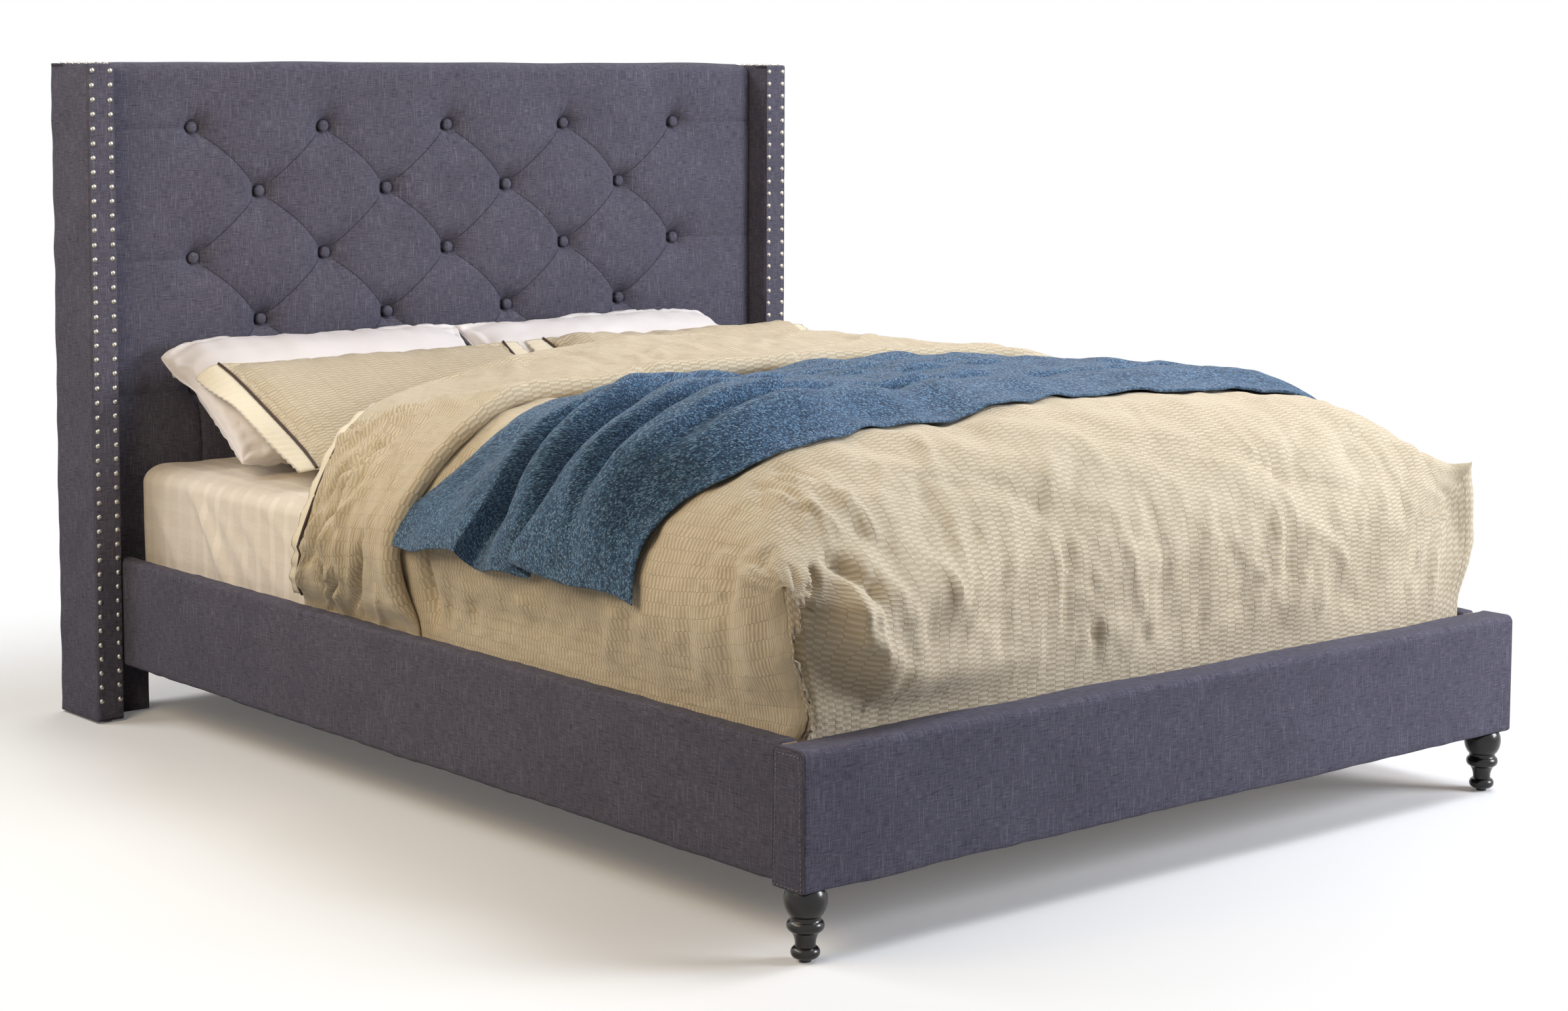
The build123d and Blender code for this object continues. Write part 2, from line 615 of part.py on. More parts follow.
def build_footboard():
    """The footboard's boards, bars, cover and turned legs."""
    right = corner_bolts(FOOT_BACK, 1, 48.0)
    bracket_bolts = right + [mirror_x(item) for item in right]
    low, high = RAIL_BOTTOM + FOOT_COVER, RAIL_TOP - FOOT_COVER
    front, back = FOOT_Y + FOOT_COVER, FOOT_BACK - FOOT_COVER
    ply, bar = 15.0, 28.0
    edge = FOOT_SIDE - FOOT_COVER
    hanger = Pos(LEG_X, LEG_Y, 0) * rod((0, 0, 82.0), (0, 0, low + bar + 4.0), 4.0)
    hangers = [hanger, mirror_x(hanger)]
    plate = block(LEG_X - 25, LEG_X + 25, front + ply + 2, back - ply - 2, low + bar, low + bar + STRAP_STEEL)
    bars = [block(-edge, edge, front + ply, back - ply, low, low + bar),
            block(-edge, edge, front + ply, back - ply, high - bar, high)]
    ends = [block(side * edge, side * (edge - 30.0), front + ply, back - ply, low + bar + 6.0, high - bar)
            for side in (-1, 1)]
    save("footboard_front_board", footboard_board(front, front + ply))
    save("footboard_back_board", drilled(footboard_board(back - ply, back), bracket_bolts))
    save("footboard_bars", group([drilled(piece, hangers + bracket_bolts) for piece in bars]))
    save("footboard_end_blocks", group(ends))
    save("footboard_cover", drilled(footboard_cover(), hangers + bracket_bolts))
    leg = (Pos(LEG_X, LEG_Y, 0) * front_leg()) - hanger
    save("front_leg_right", leg)
    save("front_leg_left", mirror_x(leg))
    save("leg_hanger_bolts", group(hangers))
    save("leg_plates", both_sides(plate - hanger))
    save("front_leg_glides", glides([(side * LEG_X, LEG_Y) for side in (-1, 1)], 9.0))


def build_base():
    """The slats, centre beam, centre legs and levelling feet."""
    beam_bottom = SLAT_BOTTOM - BEAM_HEIGHT
    ends = (FOOT_BACK, PAD_FRONT)
    screws = slat_screws()
    fixings = screws + [mirror_x(item) for item in screws]
    slats = [block(-RAIL_IN + 1.5, RAIL_IN - 1.5, y - SLAT_WIDTH / 2, y + SLAT_WIDTH / 2, SLAT_BOTTOM, SLAT_TOP)
             for y in slat_places()]
    save("slats", group([slat - left - right for slat, right, left in zip(slats, fixings, fixings[SLAT_COUNT:])]))
    save("slat_screws", group(fixings))

    half = BEAM_WIDTH / 2
    leg_places = [(i - 1) * CENTRE_LEG_PITCH for i in range(3)]
    leg_bolts = [bolt((0, y, SLAT_BOTTOM), (0, y, beam_bottom - 35.0), 4.0, 8.0, 5.0) for y in leg_places]
    hanger_screws, hangers = [], []
    for end, into in ((ends[0], 1), (ends[1], -1)):
        cradle = block(-half - STRAP_STEEL, half + STRAP_STEEL, end, end + into * 60.0,
                       beam_bottom - STRAP_STEEL, SLAT_BOTTOM - 6.0)
        cradle = cradle - block(-half, half, end + into * STRAP_STEEL, end + into * 70.0, beam_bottom, SLAT_BOTTOM)
        side_screws = [bolt((side * (half + STRAP_STEEL + 2.0), end + into * 40.0, beam_bottom + 22.0),
                            (side * (half - 20.0), end + into * 40.0, beam_bottom + 22.0), 2.0, 4.0, 2.0)
                       for side in (-1, 1)]
        hangers.append(drilled(cradle, side_screws))
        hanger_screws += side_screws
    beam = block(-half, half, ends[0] + STRAP_STEEL + CLEAR, ends[1] - STRAP_STEEL - CLEAR, beam_bottom, SLAT_BOTTOM)
    save("centre_beam", drilled(beam, leg_bolts + hanger_screws))
    save("beam_hangers", group(hangers))
    save("beam_hanger_screws", group(hanger_screws))

    side = CENTRE_LEG_WIDTH / 2
    legs, inserts = [], []
    for number, y in enumerate(leg_places, start=1):
        socket = rod((0, y, CENTRE_LEG_BOTTOM), (0, y, CENTRE_LEG_BOTTOM + INSERT_LENGTH), INSERT_RADIUS)
        stud_bore = rod((0, y, CENTRE_LEG_BOTTOM - 1), (0, y, STUD_TOP + 16.0), STUD_RADIUS + 0.8)
        leg = block(-side, side, y - side, y + side, CENTRE_LEG_BOTTOM, beam_bottom)
        legs.append(leg - socket - stud_bore - leg_bolts[number - 1])
        thread = rod((0, y, CENTRE_LEG_BOTTOM - 1), (0, y, CENTRE_LEG_BOTTOM + INSERT_LENGTH + 1),
                     STUD_RADIUS + STUD_CLEAR)
        inserts.append(socket - thread)
        foot = Pos(0, y, LEVEL_PAD_HEIGHT / 2) * Cylinder(LEVEL_PAD_RADIUS, LEVEL_PAD_HEIGHT)
        foot = fillet(foot.edges().filter_by(GeomType.CIRCLE).sort_by(Axis.Z)[-1], 3.0)
        save(f"levelling_foot_{number}", foot + rod((0, y, LEVEL_PAD_HEIGHT), (0, y, STUD_TOP), STUD_RADIUS))
    save("centre_legs", group(legs))
    save("centre_leg_bolts", group(leg_bolts))
    save("leveller_inserts", group(inserts))


def build_bedding():
    """The mattress and everything that lies on it."""
    save("mattress", mattress())
    save("fitted_sheet", fitted_sheet())
    save("comforter", comforter())
    save("throw", throw())
    rest = leaning(pillow(*PILLOW_SIZE, 12.0, 0.03), 0, PILLOW_LOW, PILLOW_HIGH)
    save("pillow_left", Pos(-379.0, 0, 0) * rest)
    save("pillow_right", Pos(322.0, 0, 0) * rest)
    front = sham(*SHAM_SIZE, SHAM_FLANGE)
    save("sham_left", leaning(front, -362.0, SHAM_LOW, SHAM_HIGH, 2.0))
    save("sham_right", leaning(front, 424.0, SHAM_LOW, SHAM_HIGH, -2.0))


build_headboard()
build_wings()
build_rails()
build_footboard()
build_base()
build_bedding()
print(len(written), "nodes")
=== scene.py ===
"""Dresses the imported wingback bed: tufted upholstery, nailhead trim, timber and metal finishes, and bedding.

Metres throughout, in the frame of the CAD model: +X is to the right seen from the foot, +Y runs to the
headboard, +Z is up, and the origin is on the floor in the middle of the bed.
"""
from __future__ import annotations

import json
import logging
import math
from dataclasses import dataclass, replace
from enum import Enum
from typing import Any, Callable, ClassVar, Iterable, Sequence

import bmesh
import bpy
import numpy as np
from mathutils import Matrix, Vector

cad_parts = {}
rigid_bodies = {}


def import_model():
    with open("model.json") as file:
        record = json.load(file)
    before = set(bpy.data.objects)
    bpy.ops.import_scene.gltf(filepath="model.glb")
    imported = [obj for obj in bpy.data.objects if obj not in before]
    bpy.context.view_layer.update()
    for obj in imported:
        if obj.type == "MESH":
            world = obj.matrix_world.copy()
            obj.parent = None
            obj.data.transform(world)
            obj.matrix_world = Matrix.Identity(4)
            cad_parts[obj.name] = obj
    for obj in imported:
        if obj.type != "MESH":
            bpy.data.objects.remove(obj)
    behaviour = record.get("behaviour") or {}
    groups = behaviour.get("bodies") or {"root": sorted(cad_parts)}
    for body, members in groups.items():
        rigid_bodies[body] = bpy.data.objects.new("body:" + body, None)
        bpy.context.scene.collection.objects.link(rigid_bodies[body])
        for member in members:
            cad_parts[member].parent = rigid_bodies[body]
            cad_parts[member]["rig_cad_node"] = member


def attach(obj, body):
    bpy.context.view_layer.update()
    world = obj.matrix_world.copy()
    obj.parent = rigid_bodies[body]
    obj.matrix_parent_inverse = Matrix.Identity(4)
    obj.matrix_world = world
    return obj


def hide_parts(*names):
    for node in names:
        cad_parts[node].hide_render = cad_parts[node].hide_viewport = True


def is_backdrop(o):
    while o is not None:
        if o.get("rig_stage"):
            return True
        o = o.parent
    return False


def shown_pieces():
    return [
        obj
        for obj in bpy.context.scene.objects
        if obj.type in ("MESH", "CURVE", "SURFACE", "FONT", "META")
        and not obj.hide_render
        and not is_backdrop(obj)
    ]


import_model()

log = logging.getLogger("bed")
Array = np.ndarray
BODY = "bed"
CLOTH_MAP = "cloth"
SPOT = "spot"
TURN = 2 * math.pi


class Side(Enum):
    """The two sides of the bed, by the sign of X."""

    LEFT = -1
    RIGHT = 1

    @property
    def word(self) -> str:
        """The side's name as the CAD nodes spell it."""
        return self.name.lower()

    def span(self, low: float, high: float) -> tuple[float, float]:
        """Two distances from the bed's middle as places x on this side, the lower first."""
        return min(self.value * low, self.value * high), max(self.value * low, self.value * high)


# Surfaces: grids of points, seeded unevenness, and the meshes that are made of them.


def smooth(value: Array, low: float, high: float) -> Array:
    """Eased step: 0 below low, 1 above high, with 3t^2 - 2t^3 between them."""
    t = np.clip((value - low) / (high - low), 0.0, 1.0)
    return t * t * (3.0 - 2.0 * t)


def bell(value: Array, width: float) -> Array:
    """Bell curve exp(-(value / width)^2)."""
    return np.exp(-((value / width) ** 2))


def window(value: Array, low: float, full: float, ending: float, high: float) -> Array:
    """Eased rise from low to full and eased fall from ending to high."""
    return smooth(value, low, full) * (1 - smooth(value, ending, high))


def to_even(value: Array) -> Array:
    """Distance to the nearest even number."""
    return np.abs(value - 2 * np.round(value / 2))


def stacked(*parts: Array | float) -> Array:
    """Parts broadcast together and stacked along a new last axis."""
    return np.stack(np.broadcast_arrays(*parts), axis=-1)


def spaced(low: float, high: float, step: float) -> Array:
    """Even places from low to high, about a step apart."""
    return np.linspace(low, high, max(2, int(round((high - low) / step)) + 1))


def arc_length(points: Array, axis: int = 0) -> Array:
    """Running length along one way of a path or grid of points, starting at 0."""
    gaps = np.linalg.norm(np.diff(points, axis=axis), axis=-1)
    pad = [(0, 0)] * gaps.ndim
    pad[axis] = (1, 0)
    return np.cumsum(np.pad(gaps, pad), axis=axis)


@dataclass(frozen=True)
class Ripple:
    """Seeded soft unevenness: a sum of sine waves whose directions and phases are drawn once.

    Attributes:
        length: typical wavelength in metres.
        height: about the most that it reaches.
        seed: picks the waves.
        squeeze: makes waves shorter along x, y and z by these factors.
        waves: how many sine waves are summed.
    """

    length: float
    height: float
    seed: int
    squeeze: tuple[float, float, float] = (1.0, 1.0, 1.0)
    waves: int = 14

    def at(self, points: Array) -> Array:
        """Height of the unevenness at each point: sum of sin(k.p + phase), scaled to the height.

        Wave numbers are 0.55 to 1.5 times that of the typical wavelength. A sum of n such sines seldom passes
        1.21 sqrt(n), which it is divided by.
        """
        draw = np.random.default_rng(self.seed)
        k = draw.normal(size=(self.waves, 3))
        number = TURN / self.length * draw.uniform(0.55, 1.5, (self.waves, 1))
        k *= number / np.linalg.norm(k, axis=1, keepdims=True) * np.array(self.squeeze)
        phase = draw.uniform(0, TURN, self.waves)
        total = np.sin(points @ k.T + phase).sum(axis=-1)
        return self.height * total / (1.21 * self.waves**0.5)


@dataclass(frozen=True)
class Crease:
    """One fold in cloth: a ridge or valley along a line from start to end, tapering out at both ends.

    Attributes:
        start: first end in metres.
        end: second end.
        width: half width of the fold.
        height: how far it stands out; negative sinks.
        bow: how far the line bows sideways at its middle, along the given way.
    """

    start: tuple[float, ...]
    end: tuple[float, ...]
    width: float
    height: float
    bow: tuple[float, ...] = (0.0, 0.0, 0.0)

    def at(self, points: Array) -> Array:
        """Height at each point: height x taper(t) x exp(-(d/width)^2), d the distance to the bowed line."""
        a, b = np.array(self.start), np.array(self.end)
        along = b - a
        t = np.clip(((points - a) @ along) / (along @ along), 0.0, 1.0)
        line = a + t[..., None] * along + (4 * t * (1 - t))[..., None] * np.array(self.bow)[: len(a)]
        far = np.linalg.norm(points - line, axis=-1)
        taper = np.clip(4 * t * (1 - t), 0.0, 1.0) ** 0.6
        return self.height * taper * bell(far, self.width)


@dataclass(frozen=True)
class Drags:
    """Seeded small creases scattered over a stretch of cloth, in cloth coordinates.

    Attributes:
        seed: picks them.
        count: how many.
        low: lowest cloth coordinates of their middles.
        high: highest cloth coordinates of their middles.
        way: degrees of their usual direction, 0 along the first coordinate.
        spread: how many degrees they stray from it.
        length: shortest and longest.
        width: narrowest and widest half width.
        height: lowest and highest, of either sign.
    """

    seed: int
    count: int
    low: tuple[float, float]
    high: tuple[float, float]
    way: float
    spread: float
    length: tuple[float, float]
    width: tuple[float, float] = (0.005, 0.011)
    height: tuple[float, float] = (0.0015, 0.0045)

    def pair(self) -> tuple[Drags, Drags]:
        """These creases, and others of the next seed on the other side of the bed."""
        low, high = (-self.high[0], self.low[1]), (-self.low[0], self.high[1])
        return self, replace(self, seed=self.seed + 1, low=low, high=high, way=-self.way)

    def at(self, spots: Array) -> Array:
        """Sum over the creases of height x taper x bell across it, each along its own slightly bowed line."""
        draw = np.random.default_rng(self.seed)
        n = self.count
        middle = draw.uniform(self.low, self.high, (n, 2))
        angle = np.radians(self.way + draw.normal(0, self.spread, n))
        half = draw.uniform(*self.length, n) / 2
        width, height = draw.uniform(*self.width, n), draw.uniform(*self.height, n) * draw.choice([-1, 1], n)
        bow = draw.normal(0, 0.10, n)
        total = np.zeros(spots.shape[:-1])
        for k in range(n):
            ahead = np.array([np.cos(angle[k]), np.sin(angle[k])])
            off = spots - middle[k]
            t = np.clip(off @ ahead / half[k], -1.0, 1.0)
            across = off @ np.array([-ahead[1], ahead[0]]) - bow[k] * half[k] * (1 - t**2)
            total += height[k] * (1 - t**2) * bell(across, width[k]) * (np.abs(off @ ahead) < half[k])
        return total


@dataclass
class Patch:
    """A grid of points with its cloth coordinates, both in metres.

    Attributes:
        points: array (rows, columns, 3).
        cloth: array (rows, columns, 2), which the weave follows.
        split: array (rows - 1, columns - 1): 0 leaves a quad whole, 1 and 2 cut it along one diagonal.
        crease: array (rows, columns) of how near a sewn pleat is, 1 on its line; the linen paints shade there.
    """

    points: Array
    cloth: Array
    split: Array | None = None
    crease: Array | None = None


def lofted(rows: Array) -> Patch:
    """A patch whose cloth coordinates are the running lengths along its columns and rows."""
    return Patch(rows, stacked(arc_length(rows, 1), arc_length(rows, 0)))


def faces_of(patch: Patch, base: int) -> tuple[list[list[int]], Array]:
    """The faces of one patch and, for each of their corners in order, the grid place that it is.

    Args:
        patch: the grid.
        base: index of its first vertex.

    Returns:
        The faces as lists of vertex indices, and one flat array of grid indices for the loops.
    """
    rows, columns = patch.points.shape[:2]
    index = np.arange(rows * columns).reshape(rows, columns)
    a, b, c, d = index[:-1, :-1], index[:-1, 1:], index[1:, 1:], index[1:, :-1]
    split = np.zeros(a.shape, int) if patch.split is None else patch.split
    whole = split == 0
    quads = np.stack([a[whole], b[whole], c[whole], d[whole]], axis=-1)
    one, two = split == 1, split == 2
    triangles = np.concatenate([
        np.stack([a[one], b[one], c[one]], axis=-1), np.stack([a[one], c[one], d[one]], axis=-1),
        np.stack([a[two], b[two], d[two]], axis=-1), np.stack([b[two], c[two], d[two]], axis=-1)])
    faces = (quads + base).tolist() + (triangles + base).tolist()
    return faces, np.concatenate([quads.ravel(), triangles.ravel()])


def make_mesh(name: str, patches: Sequence[Patch], weld: float = 2e-5, outward: bool = True) -> bpy.types.Object:
    """Puts patches into one smooth mesh object at the origin.

    Args:
        name: the object's name.
        patches: the grids that make it up.
        weld: points nearer than this become one, which closes seams and poles.
        outward: recalculates the normals, for a closed form.

    Returns:
        The new object, linked to the scene.
    """
    faces: list[list[int]] = []
    loops, base = [], 0
    for patch in patches:
        found, corners = faces_of(patch, base)
        faces += found
        loops.append(patch.cloth.reshape(-1, 2)[corners])
        base += patch.points.shape[0] * patch.points.shape[1]
    mesh = bpy.data.meshes.new(name)
    mesh.from_pydata(np.concatenate([p.points.reshape(-1, 3) for p in patches]).tolist(), [], faces)
    layer = mesh.uv_layers.new(name=CLOTH_MAP)
    layer.data.foreach_set("uv", np.concatenate(loops).astype(np.float32).ravel())
    # The crease attribute marks where the linen paints shade along sewn pleats.
    if any(p.crease is not None for p in patches):
        creases = [np.zeros(p.points.shape[:2]) if p.crease is None else p.crease for p in patches]
        values = np.concatenate([crease.ravel() for crease in creases]).astype(np.float32)
        mesh.attributes.new("crease", "FLOAT", "POINT").data.foreach_set("value", values)
    spots = np.concatenate([np.pad(p.cloth.reshape(-1, 2), ((0, 0), (0, 1))) for p in patches])
    mesh.attributes.new(SPOT, "FLOAT_VECTOR", "POINT").data.foreach_set("vector", spots.astype(np.float32).ravel())
    sheet = bmesh.new()
    sheet.from_mesh(mesh)
    bmesh.ops.remove_doubles(sheet, verts=sheet.verts, dist=weld)
    bmesh.ops.dissolve_degenerate(sheet, edges=sheet.edges, dist=1e-7)
    if outward:
        bmesh.ops.recalc_face_normals(sheet, faces=sheet.faces)
    sheet.to_mesh(mesh)
    sheet.free()
    mesh.polygons.foreach_set("use_smooth", np.ones(len(mesh.polygons), bool))
    piece = bpy.data.objects.new(name, mesh)
    bpy.context.scene.collection.objects.link(piece)
    return piece


def vectors(items: bpy.types.bpy_prop_collection, key: str) -> Array:
    """The vectors that a mesh's items keep under a key, as an array (n, 3)."""
    found = np.empty(len(items) * 3, np.float32)
    items.foreach_get(key, found)
    return found.reshape(-1, 3).astype(float)


def vertices_of(piece: bpy.types.Object) -> Array:
    """The piece's points as an array (n, 3)."""
    return vectors(piece.data.vertices, "co")


def spots_of(piece: bpy.types.Object) -> Array:
    """The piece's cloth coordinates at its points as an array (n, 2)."""
    return vectors(piece.data.attributes[SPOT].data, "vector")[:, :2]


def place(piece: bpy.types.Object, points: Array) -> None:
    """Gives the piece new points."""
    piece.data.vertices.foreach_set("co", points.astype(np.float32).ravel())
    piece.data.update()


def swell(piece: bpy.types.Object, height: Callable[[Array, Array], Array]) -> None:
    """Moves every point along its normal by height(points, normals)."""
    points, normals = vertices_of(piece), vectors(piece.data.vertex_normals, "vector")
    place(piece, points + normals * height(points, normals)[:, None])


@dataclass(frozen=True)
class RoundedBox:
    """A box with rounded edges, made of one grid for each face.

    Attributes:
        low: lowest corner.
        high: highest corner.
        radius: edge radius along x, y and z; a point's offset from the inner box is a unit way times these.
        step: spacing of the flat parts.
        turns: steps round each half edge.
    """

    low: tuple[float, float, float]
    high: tuple[float, float, float]
    radius: tuple[float, float, float]
    step: float
    turns: int = 4

    def _places(self, axis: int) -> tuple[Array, Array, Array]:
        """Inner place, rounding share from -1 to 1, and running length, along one axis."""
        lo, hi, r = self.low[axis], self.high[axis], self.radius[axis]
        angle = np.linspace(0, np.pi / 4, self.turns + 1)[1:]
        flat = spaced(lo + r, hi - r, self.step)
        inner = np.concatenate([np.full(self.turns, lo + r), flat, np.full(self.turns, hi - r)])
        share = np.concatenate([-np.tan(angle[::-1]), np.zeros(len(flat)), np.tan(angle)])
        length = np.concatenate([lo + r - r * angle[::-1], flat, hi - r + r * angle])
        return inner, share, length

    def face(self, axis: int, sign: int) -> Patch:
        """One face: inner point plus radius times the unit vector of the two shares and the face's own way."""
        s, t = [a for a in range(3) if a != axis]
        inner_s, share_s, length_s = self._places(s)
        inner_t, share_t, length_t = self._places(t)
        shape = (len(inner_t), len(inner_s))
        inner, way = np.empty(shape + (3,)), np.empty(shape + (3,))
        inner[..., s], inner[..., t] = inner_s[None, :], inner_t[:, None]
        inner[..., axis] = (self.high[axis] - self.radius[axis]) if sign > 0 else (self.low[axis] + self.radius[axis])
        way[..., s], way[..., t], way[..., axis] = share_s[None, :], share_t[:, None], sign
        way /= np.linalg.norm(way, axis=-1, keepdims=True)
        points = inner + way * np.array(self.radius)
        return Patch(points, stacked(length_s[None, :], length_t[:, None]))

    def patches(self, skip: Iterable[tuple[int, int]] = ()) -> list[Patch]:
        """All faces but the skipped ones, given as (axis, sign)."""
        every = [(axis, sign) for axis in range(3) for sign in (-1, 1)]
        return [self.face(*which) for which in every if which not in set(skip)]


def tube(path: Array, radius: float, around: int = 10, closed: bool = False) -> Patch:
    """A round tube along a path: at each point a circle across the path's direction.

    Args:
        path: points (n, 3).
        radius: the tube's radius.
        around: points of the circle.
        closed: whether the path meets itself.
    """
    if closed:
        path = np.concatenate([path, path[:1]])
    ahead = np.gradient(path, axis=0)
    if closed:
        ahead[0] = ahead[-1] = path[1] - path[-2]
    ahead /= np.linalg.norm(ahead, axis=1, keepdims=True)
    guide = np.where(np.abs(ahead[:, 2:3]) > 0.9, np.array([[1.0, 0, 0]]), np.array([[0, 0, 1.0]]))
    across = np.cross(ahead, guide)
    across /= np.linalg.norm(across, axis=1, keepdims=True)
    up = np.cross(across, ahead)
    angle = np.linspace(0, TURN, around + 1)
    ring = np.cos(angle)[None, :, None] * across[:, None] + np.sin(angle)[None, :, None] * up[:, None]
    rows = path[:, None] + radius * ring
    if not closed:
        first, last = (np.repeat(path[None, [k]], around + 1, axis=1) for k in (0, -1))
        rows = np.concatenate([first, rows, last])
    return lofted(rows)


def ribbon(upper: Array, lower: Array) -> list[Patch]:
    """A thin closed band: a loop round two grids of points, and a cap at each end of their rows."""
    caps = [lofted(np.stack([upper[:, k], lower[:, k]])) for k in (0, -1)]
    return [lofted(np.concatenate([upper, lower[::-1], upper[:1]])), *caps]


# Shader building: numbers with arithmetic, a board that adds nodes, and the finishes.


def operator(operation: str, swapped: bool = False) -> Callable[..., Signal]:
    """A method that adds one Math node to a signal.

    Args:
        operation: what the node does.
        swapped: puts the other value first, for the reflected operators.

    Returns:
        The method, which takes the other values and gives the node's result as a signal.
    """

    def method(self: Signal, *others: Signal | float) -> Signal:
        """The result of the Math node."""
        values = [*others, self] if swapped else [self, *others]
        node = self.board.add("ShaderNodeMath", {"operation": operation}, dict(enumerate(values)))
        return Signal(self.board, node.outputs[0])

    return method


class Signal:
    """A number on its way through a material. Arithmetic on it adds Math nodes."""

    def __init__(self, board: Board, socket: bpy.types.NodeSocket) -> None:
        """Wraps one output socket of a board's tree."""
        self.board, self.socket = board, socket

    __add__ = __radd__ = operator("ADD")
    __mul__ = __rmul__ = operator("MULTIPLY")
    __sub__, __rsub__ = operator("SUBTRACT"), operator("SUBTRACT", swapped=True)
    __truediv__, __rtruediv__ = operator("DIVIDE"), operator("DIVIDE", swapped=True)
    __pow__, most = operator("POWER"), operator("MAXIMUM")
    sine, part, size = operator("SINE"), operator("FRACT"), operator("ABSOLUTE")

    def away(self) -> Signal:
        """Distance from the middle of the running whole step, from 0 to a half."""
        return (self.part() - 0.5).size()

    def eased(self, low: float, high: float) -> Signal:
        """Eased step between two levels; low may be above high, which turns it round."""
        settings = {"interpolation_type": "SMOOTHSTEP", "clamp": True}
        turned = low > high
        node = self.board.add("ShaderNodeMapRange", settings, {
            "Value": self, "From Min": min(low, high), "From Max": max(low, high),
            "To Min": float(turned), "To Max": float(not turned)})
        return Signal(self.board, node.outputs["Result"])


class Board:
    """The node tree of one material or world, built by adding nodes."""

    def __init__(self, owner: bpy.types.Material | bpy.types.World) -> None:
        """Empties the tree of its owner."""
        self.owner = owner
        owner.use_nodes = True
        self.tree = owner.node_tree
        self.tree.nodes.clear()

    def add(self, kind: str, settings: dict[str, Any] | None = None,
            inputs: dict[int | str, Any] | None = None) -> bpy.types.Node:
        """Adds one node.

        Args:
            kind: the node's type.
            settings: its properties.
            inputs: a value, signal or output socket for each named or numbered input.

        Returns:
            The node.
        """
        node = self.tree.nodes.new(kind)
        for key, value in (settings or {}).items():
            setattr(node, key, value)
        for key, value in (inputs or {}).items():
            socket = value.socket if isinstance(value, Signal) else value
            if isinstance(socket, bpy.types.NodeSocket):
                self.tree.links.new(socket, node.inputs[key])
            else:
                node.inputs[key].default_value = value
        return node

    def cloth(self) -> tuple[Signal, Signal]:
        """The two cloth coordinates in metres."""
        return self.parts(self.add("ShaderNodeUVMap", {"uv_map": CLOTH_MAP}).outputs[0])[:2]

    def place(self) -> bpy.types.NodeSocket:
        """The Object coordinate."""
        return self.add("ShaderNodeTexCoord").outputs["Object"]

    def parts(self, vector: bpy.types.NodeSocket) -> tuple[Signal, Signal, Signal]:
        """The three parts of a vector."""
        node = self.add("ShaderNodeSeparateXYZ", None, {0: vector})
        return tuple(Signal(self, output) for output in node.outputs)

    def join(self, x: Signal | float, y: Signal | float, z: Signal | float = 0.0) -> bpy.types.NodeSocket:
        """A vector of three numbers."""
        return self.add("ShaderNodeCombineXYZ", None, {0: x, 1: y, 2: z}).outputs[0]

    def noise(self, vector: bpy.types.NodeSocket, scale: float, detail: float = 2.0, rough: float = 0.5) -> Signal:
        """Noise from 0 to 1 about a half."""
        node = self.add("ShaderNodeTexNoise", {"noise_dimensions": "3D"},
                        {"Vector": vector, "Scale": scale, "Detail": detail, "Roughness": rough})
        return Signal(self, node.outputs[0])

    def grain(self, at: tuple[Signal, Signal], scales: tuple[float, float], layer: float, detail: float = 2.0,
              rough: float = 0.5) -> Signal:
        """Noise over the cloth at its own scale along each thread.

        Args:
            at: the two cloth coordinates.
            scales: features for each metre along them.
            layer: place along the third axis, which keeps one noise apart from another.
            detail: octaves.
            rough: share of each finer octave.

        Returns:
            The noise, from 0 to 1 about a half.
        """
        return self.noise(self.join(at[0] * scales[0], at[1] * scales[1], layer), 1.0, detail, rough)

    def cells(self, vector: bpy.types.NodeSocket, scale: float, output: str = "Distance") -> bpy.types.NodeSocket:
        """Voronoi cells: distance to a cell's middle, or its colour."""
        return self.add("ShaderNodeTexVoronoi", {"feature": "F1"}, {"Vector": vector, "Scale": scale}).outputs[output]

    def blend(self, share: Signal | float, low: Any, high: Any) -> bpy.types.NodeSocket:
        """Mixes two colours, given as tuples or sockets."""
        low, high = ((*c, 1.0) if isinstance(c, tuple) else c for c in (low, high))
        return self.add("ShaderNodeMix", {"data_type": "RGBA"}, {0: share, 6: low, 7: high}).outputs[2]

    def coats(self, ground: Any, *coats: tuple[Signal | float, Any]) -> bpy.types.NodeSocket:
        """Lays coats over a ground colour, one after another, each given as its share and its colour."""
        for share, colour in coats:
            ground = self.blend(share, ground, colour)
        return ground

    def bump(self, height: Signal, distance: float, strength: float = 1.0,
             normal: bpy.types.NodeSocket | None = None) -> bpy.types.NodeSocket:
        """A bumped normal from a height of 0 to 1 that stands for the distance in metres."""
        inputs: dict[int | str, Any] = {"Height": height, "Distance": distance, "Strength": strength}
        if normal is not None:
            inputs["Normal"] = normal
        return self.add("ShaderNodeBump", None, inputs).outputs[0]

    def finish(self, inputs: dict[int | str, Any]) -> bpy.types.Material:
        """Ends the tree in a Principled shader with these inputs."""
        shader = self.add("ShaderNodeBsdfPrincipled", None, inputs)
        self.add("ShaderNodeOutputMaterial", None, {0: shader.outputs[0]})
        return self.owner


Colour = tuple[float, float, float]


def toned(colour: Colour, factor: float) -> Colour:
    """A colour made lighter or darker by a factor."""
    return tuple(min(1.0, part * factor) for part in colour)


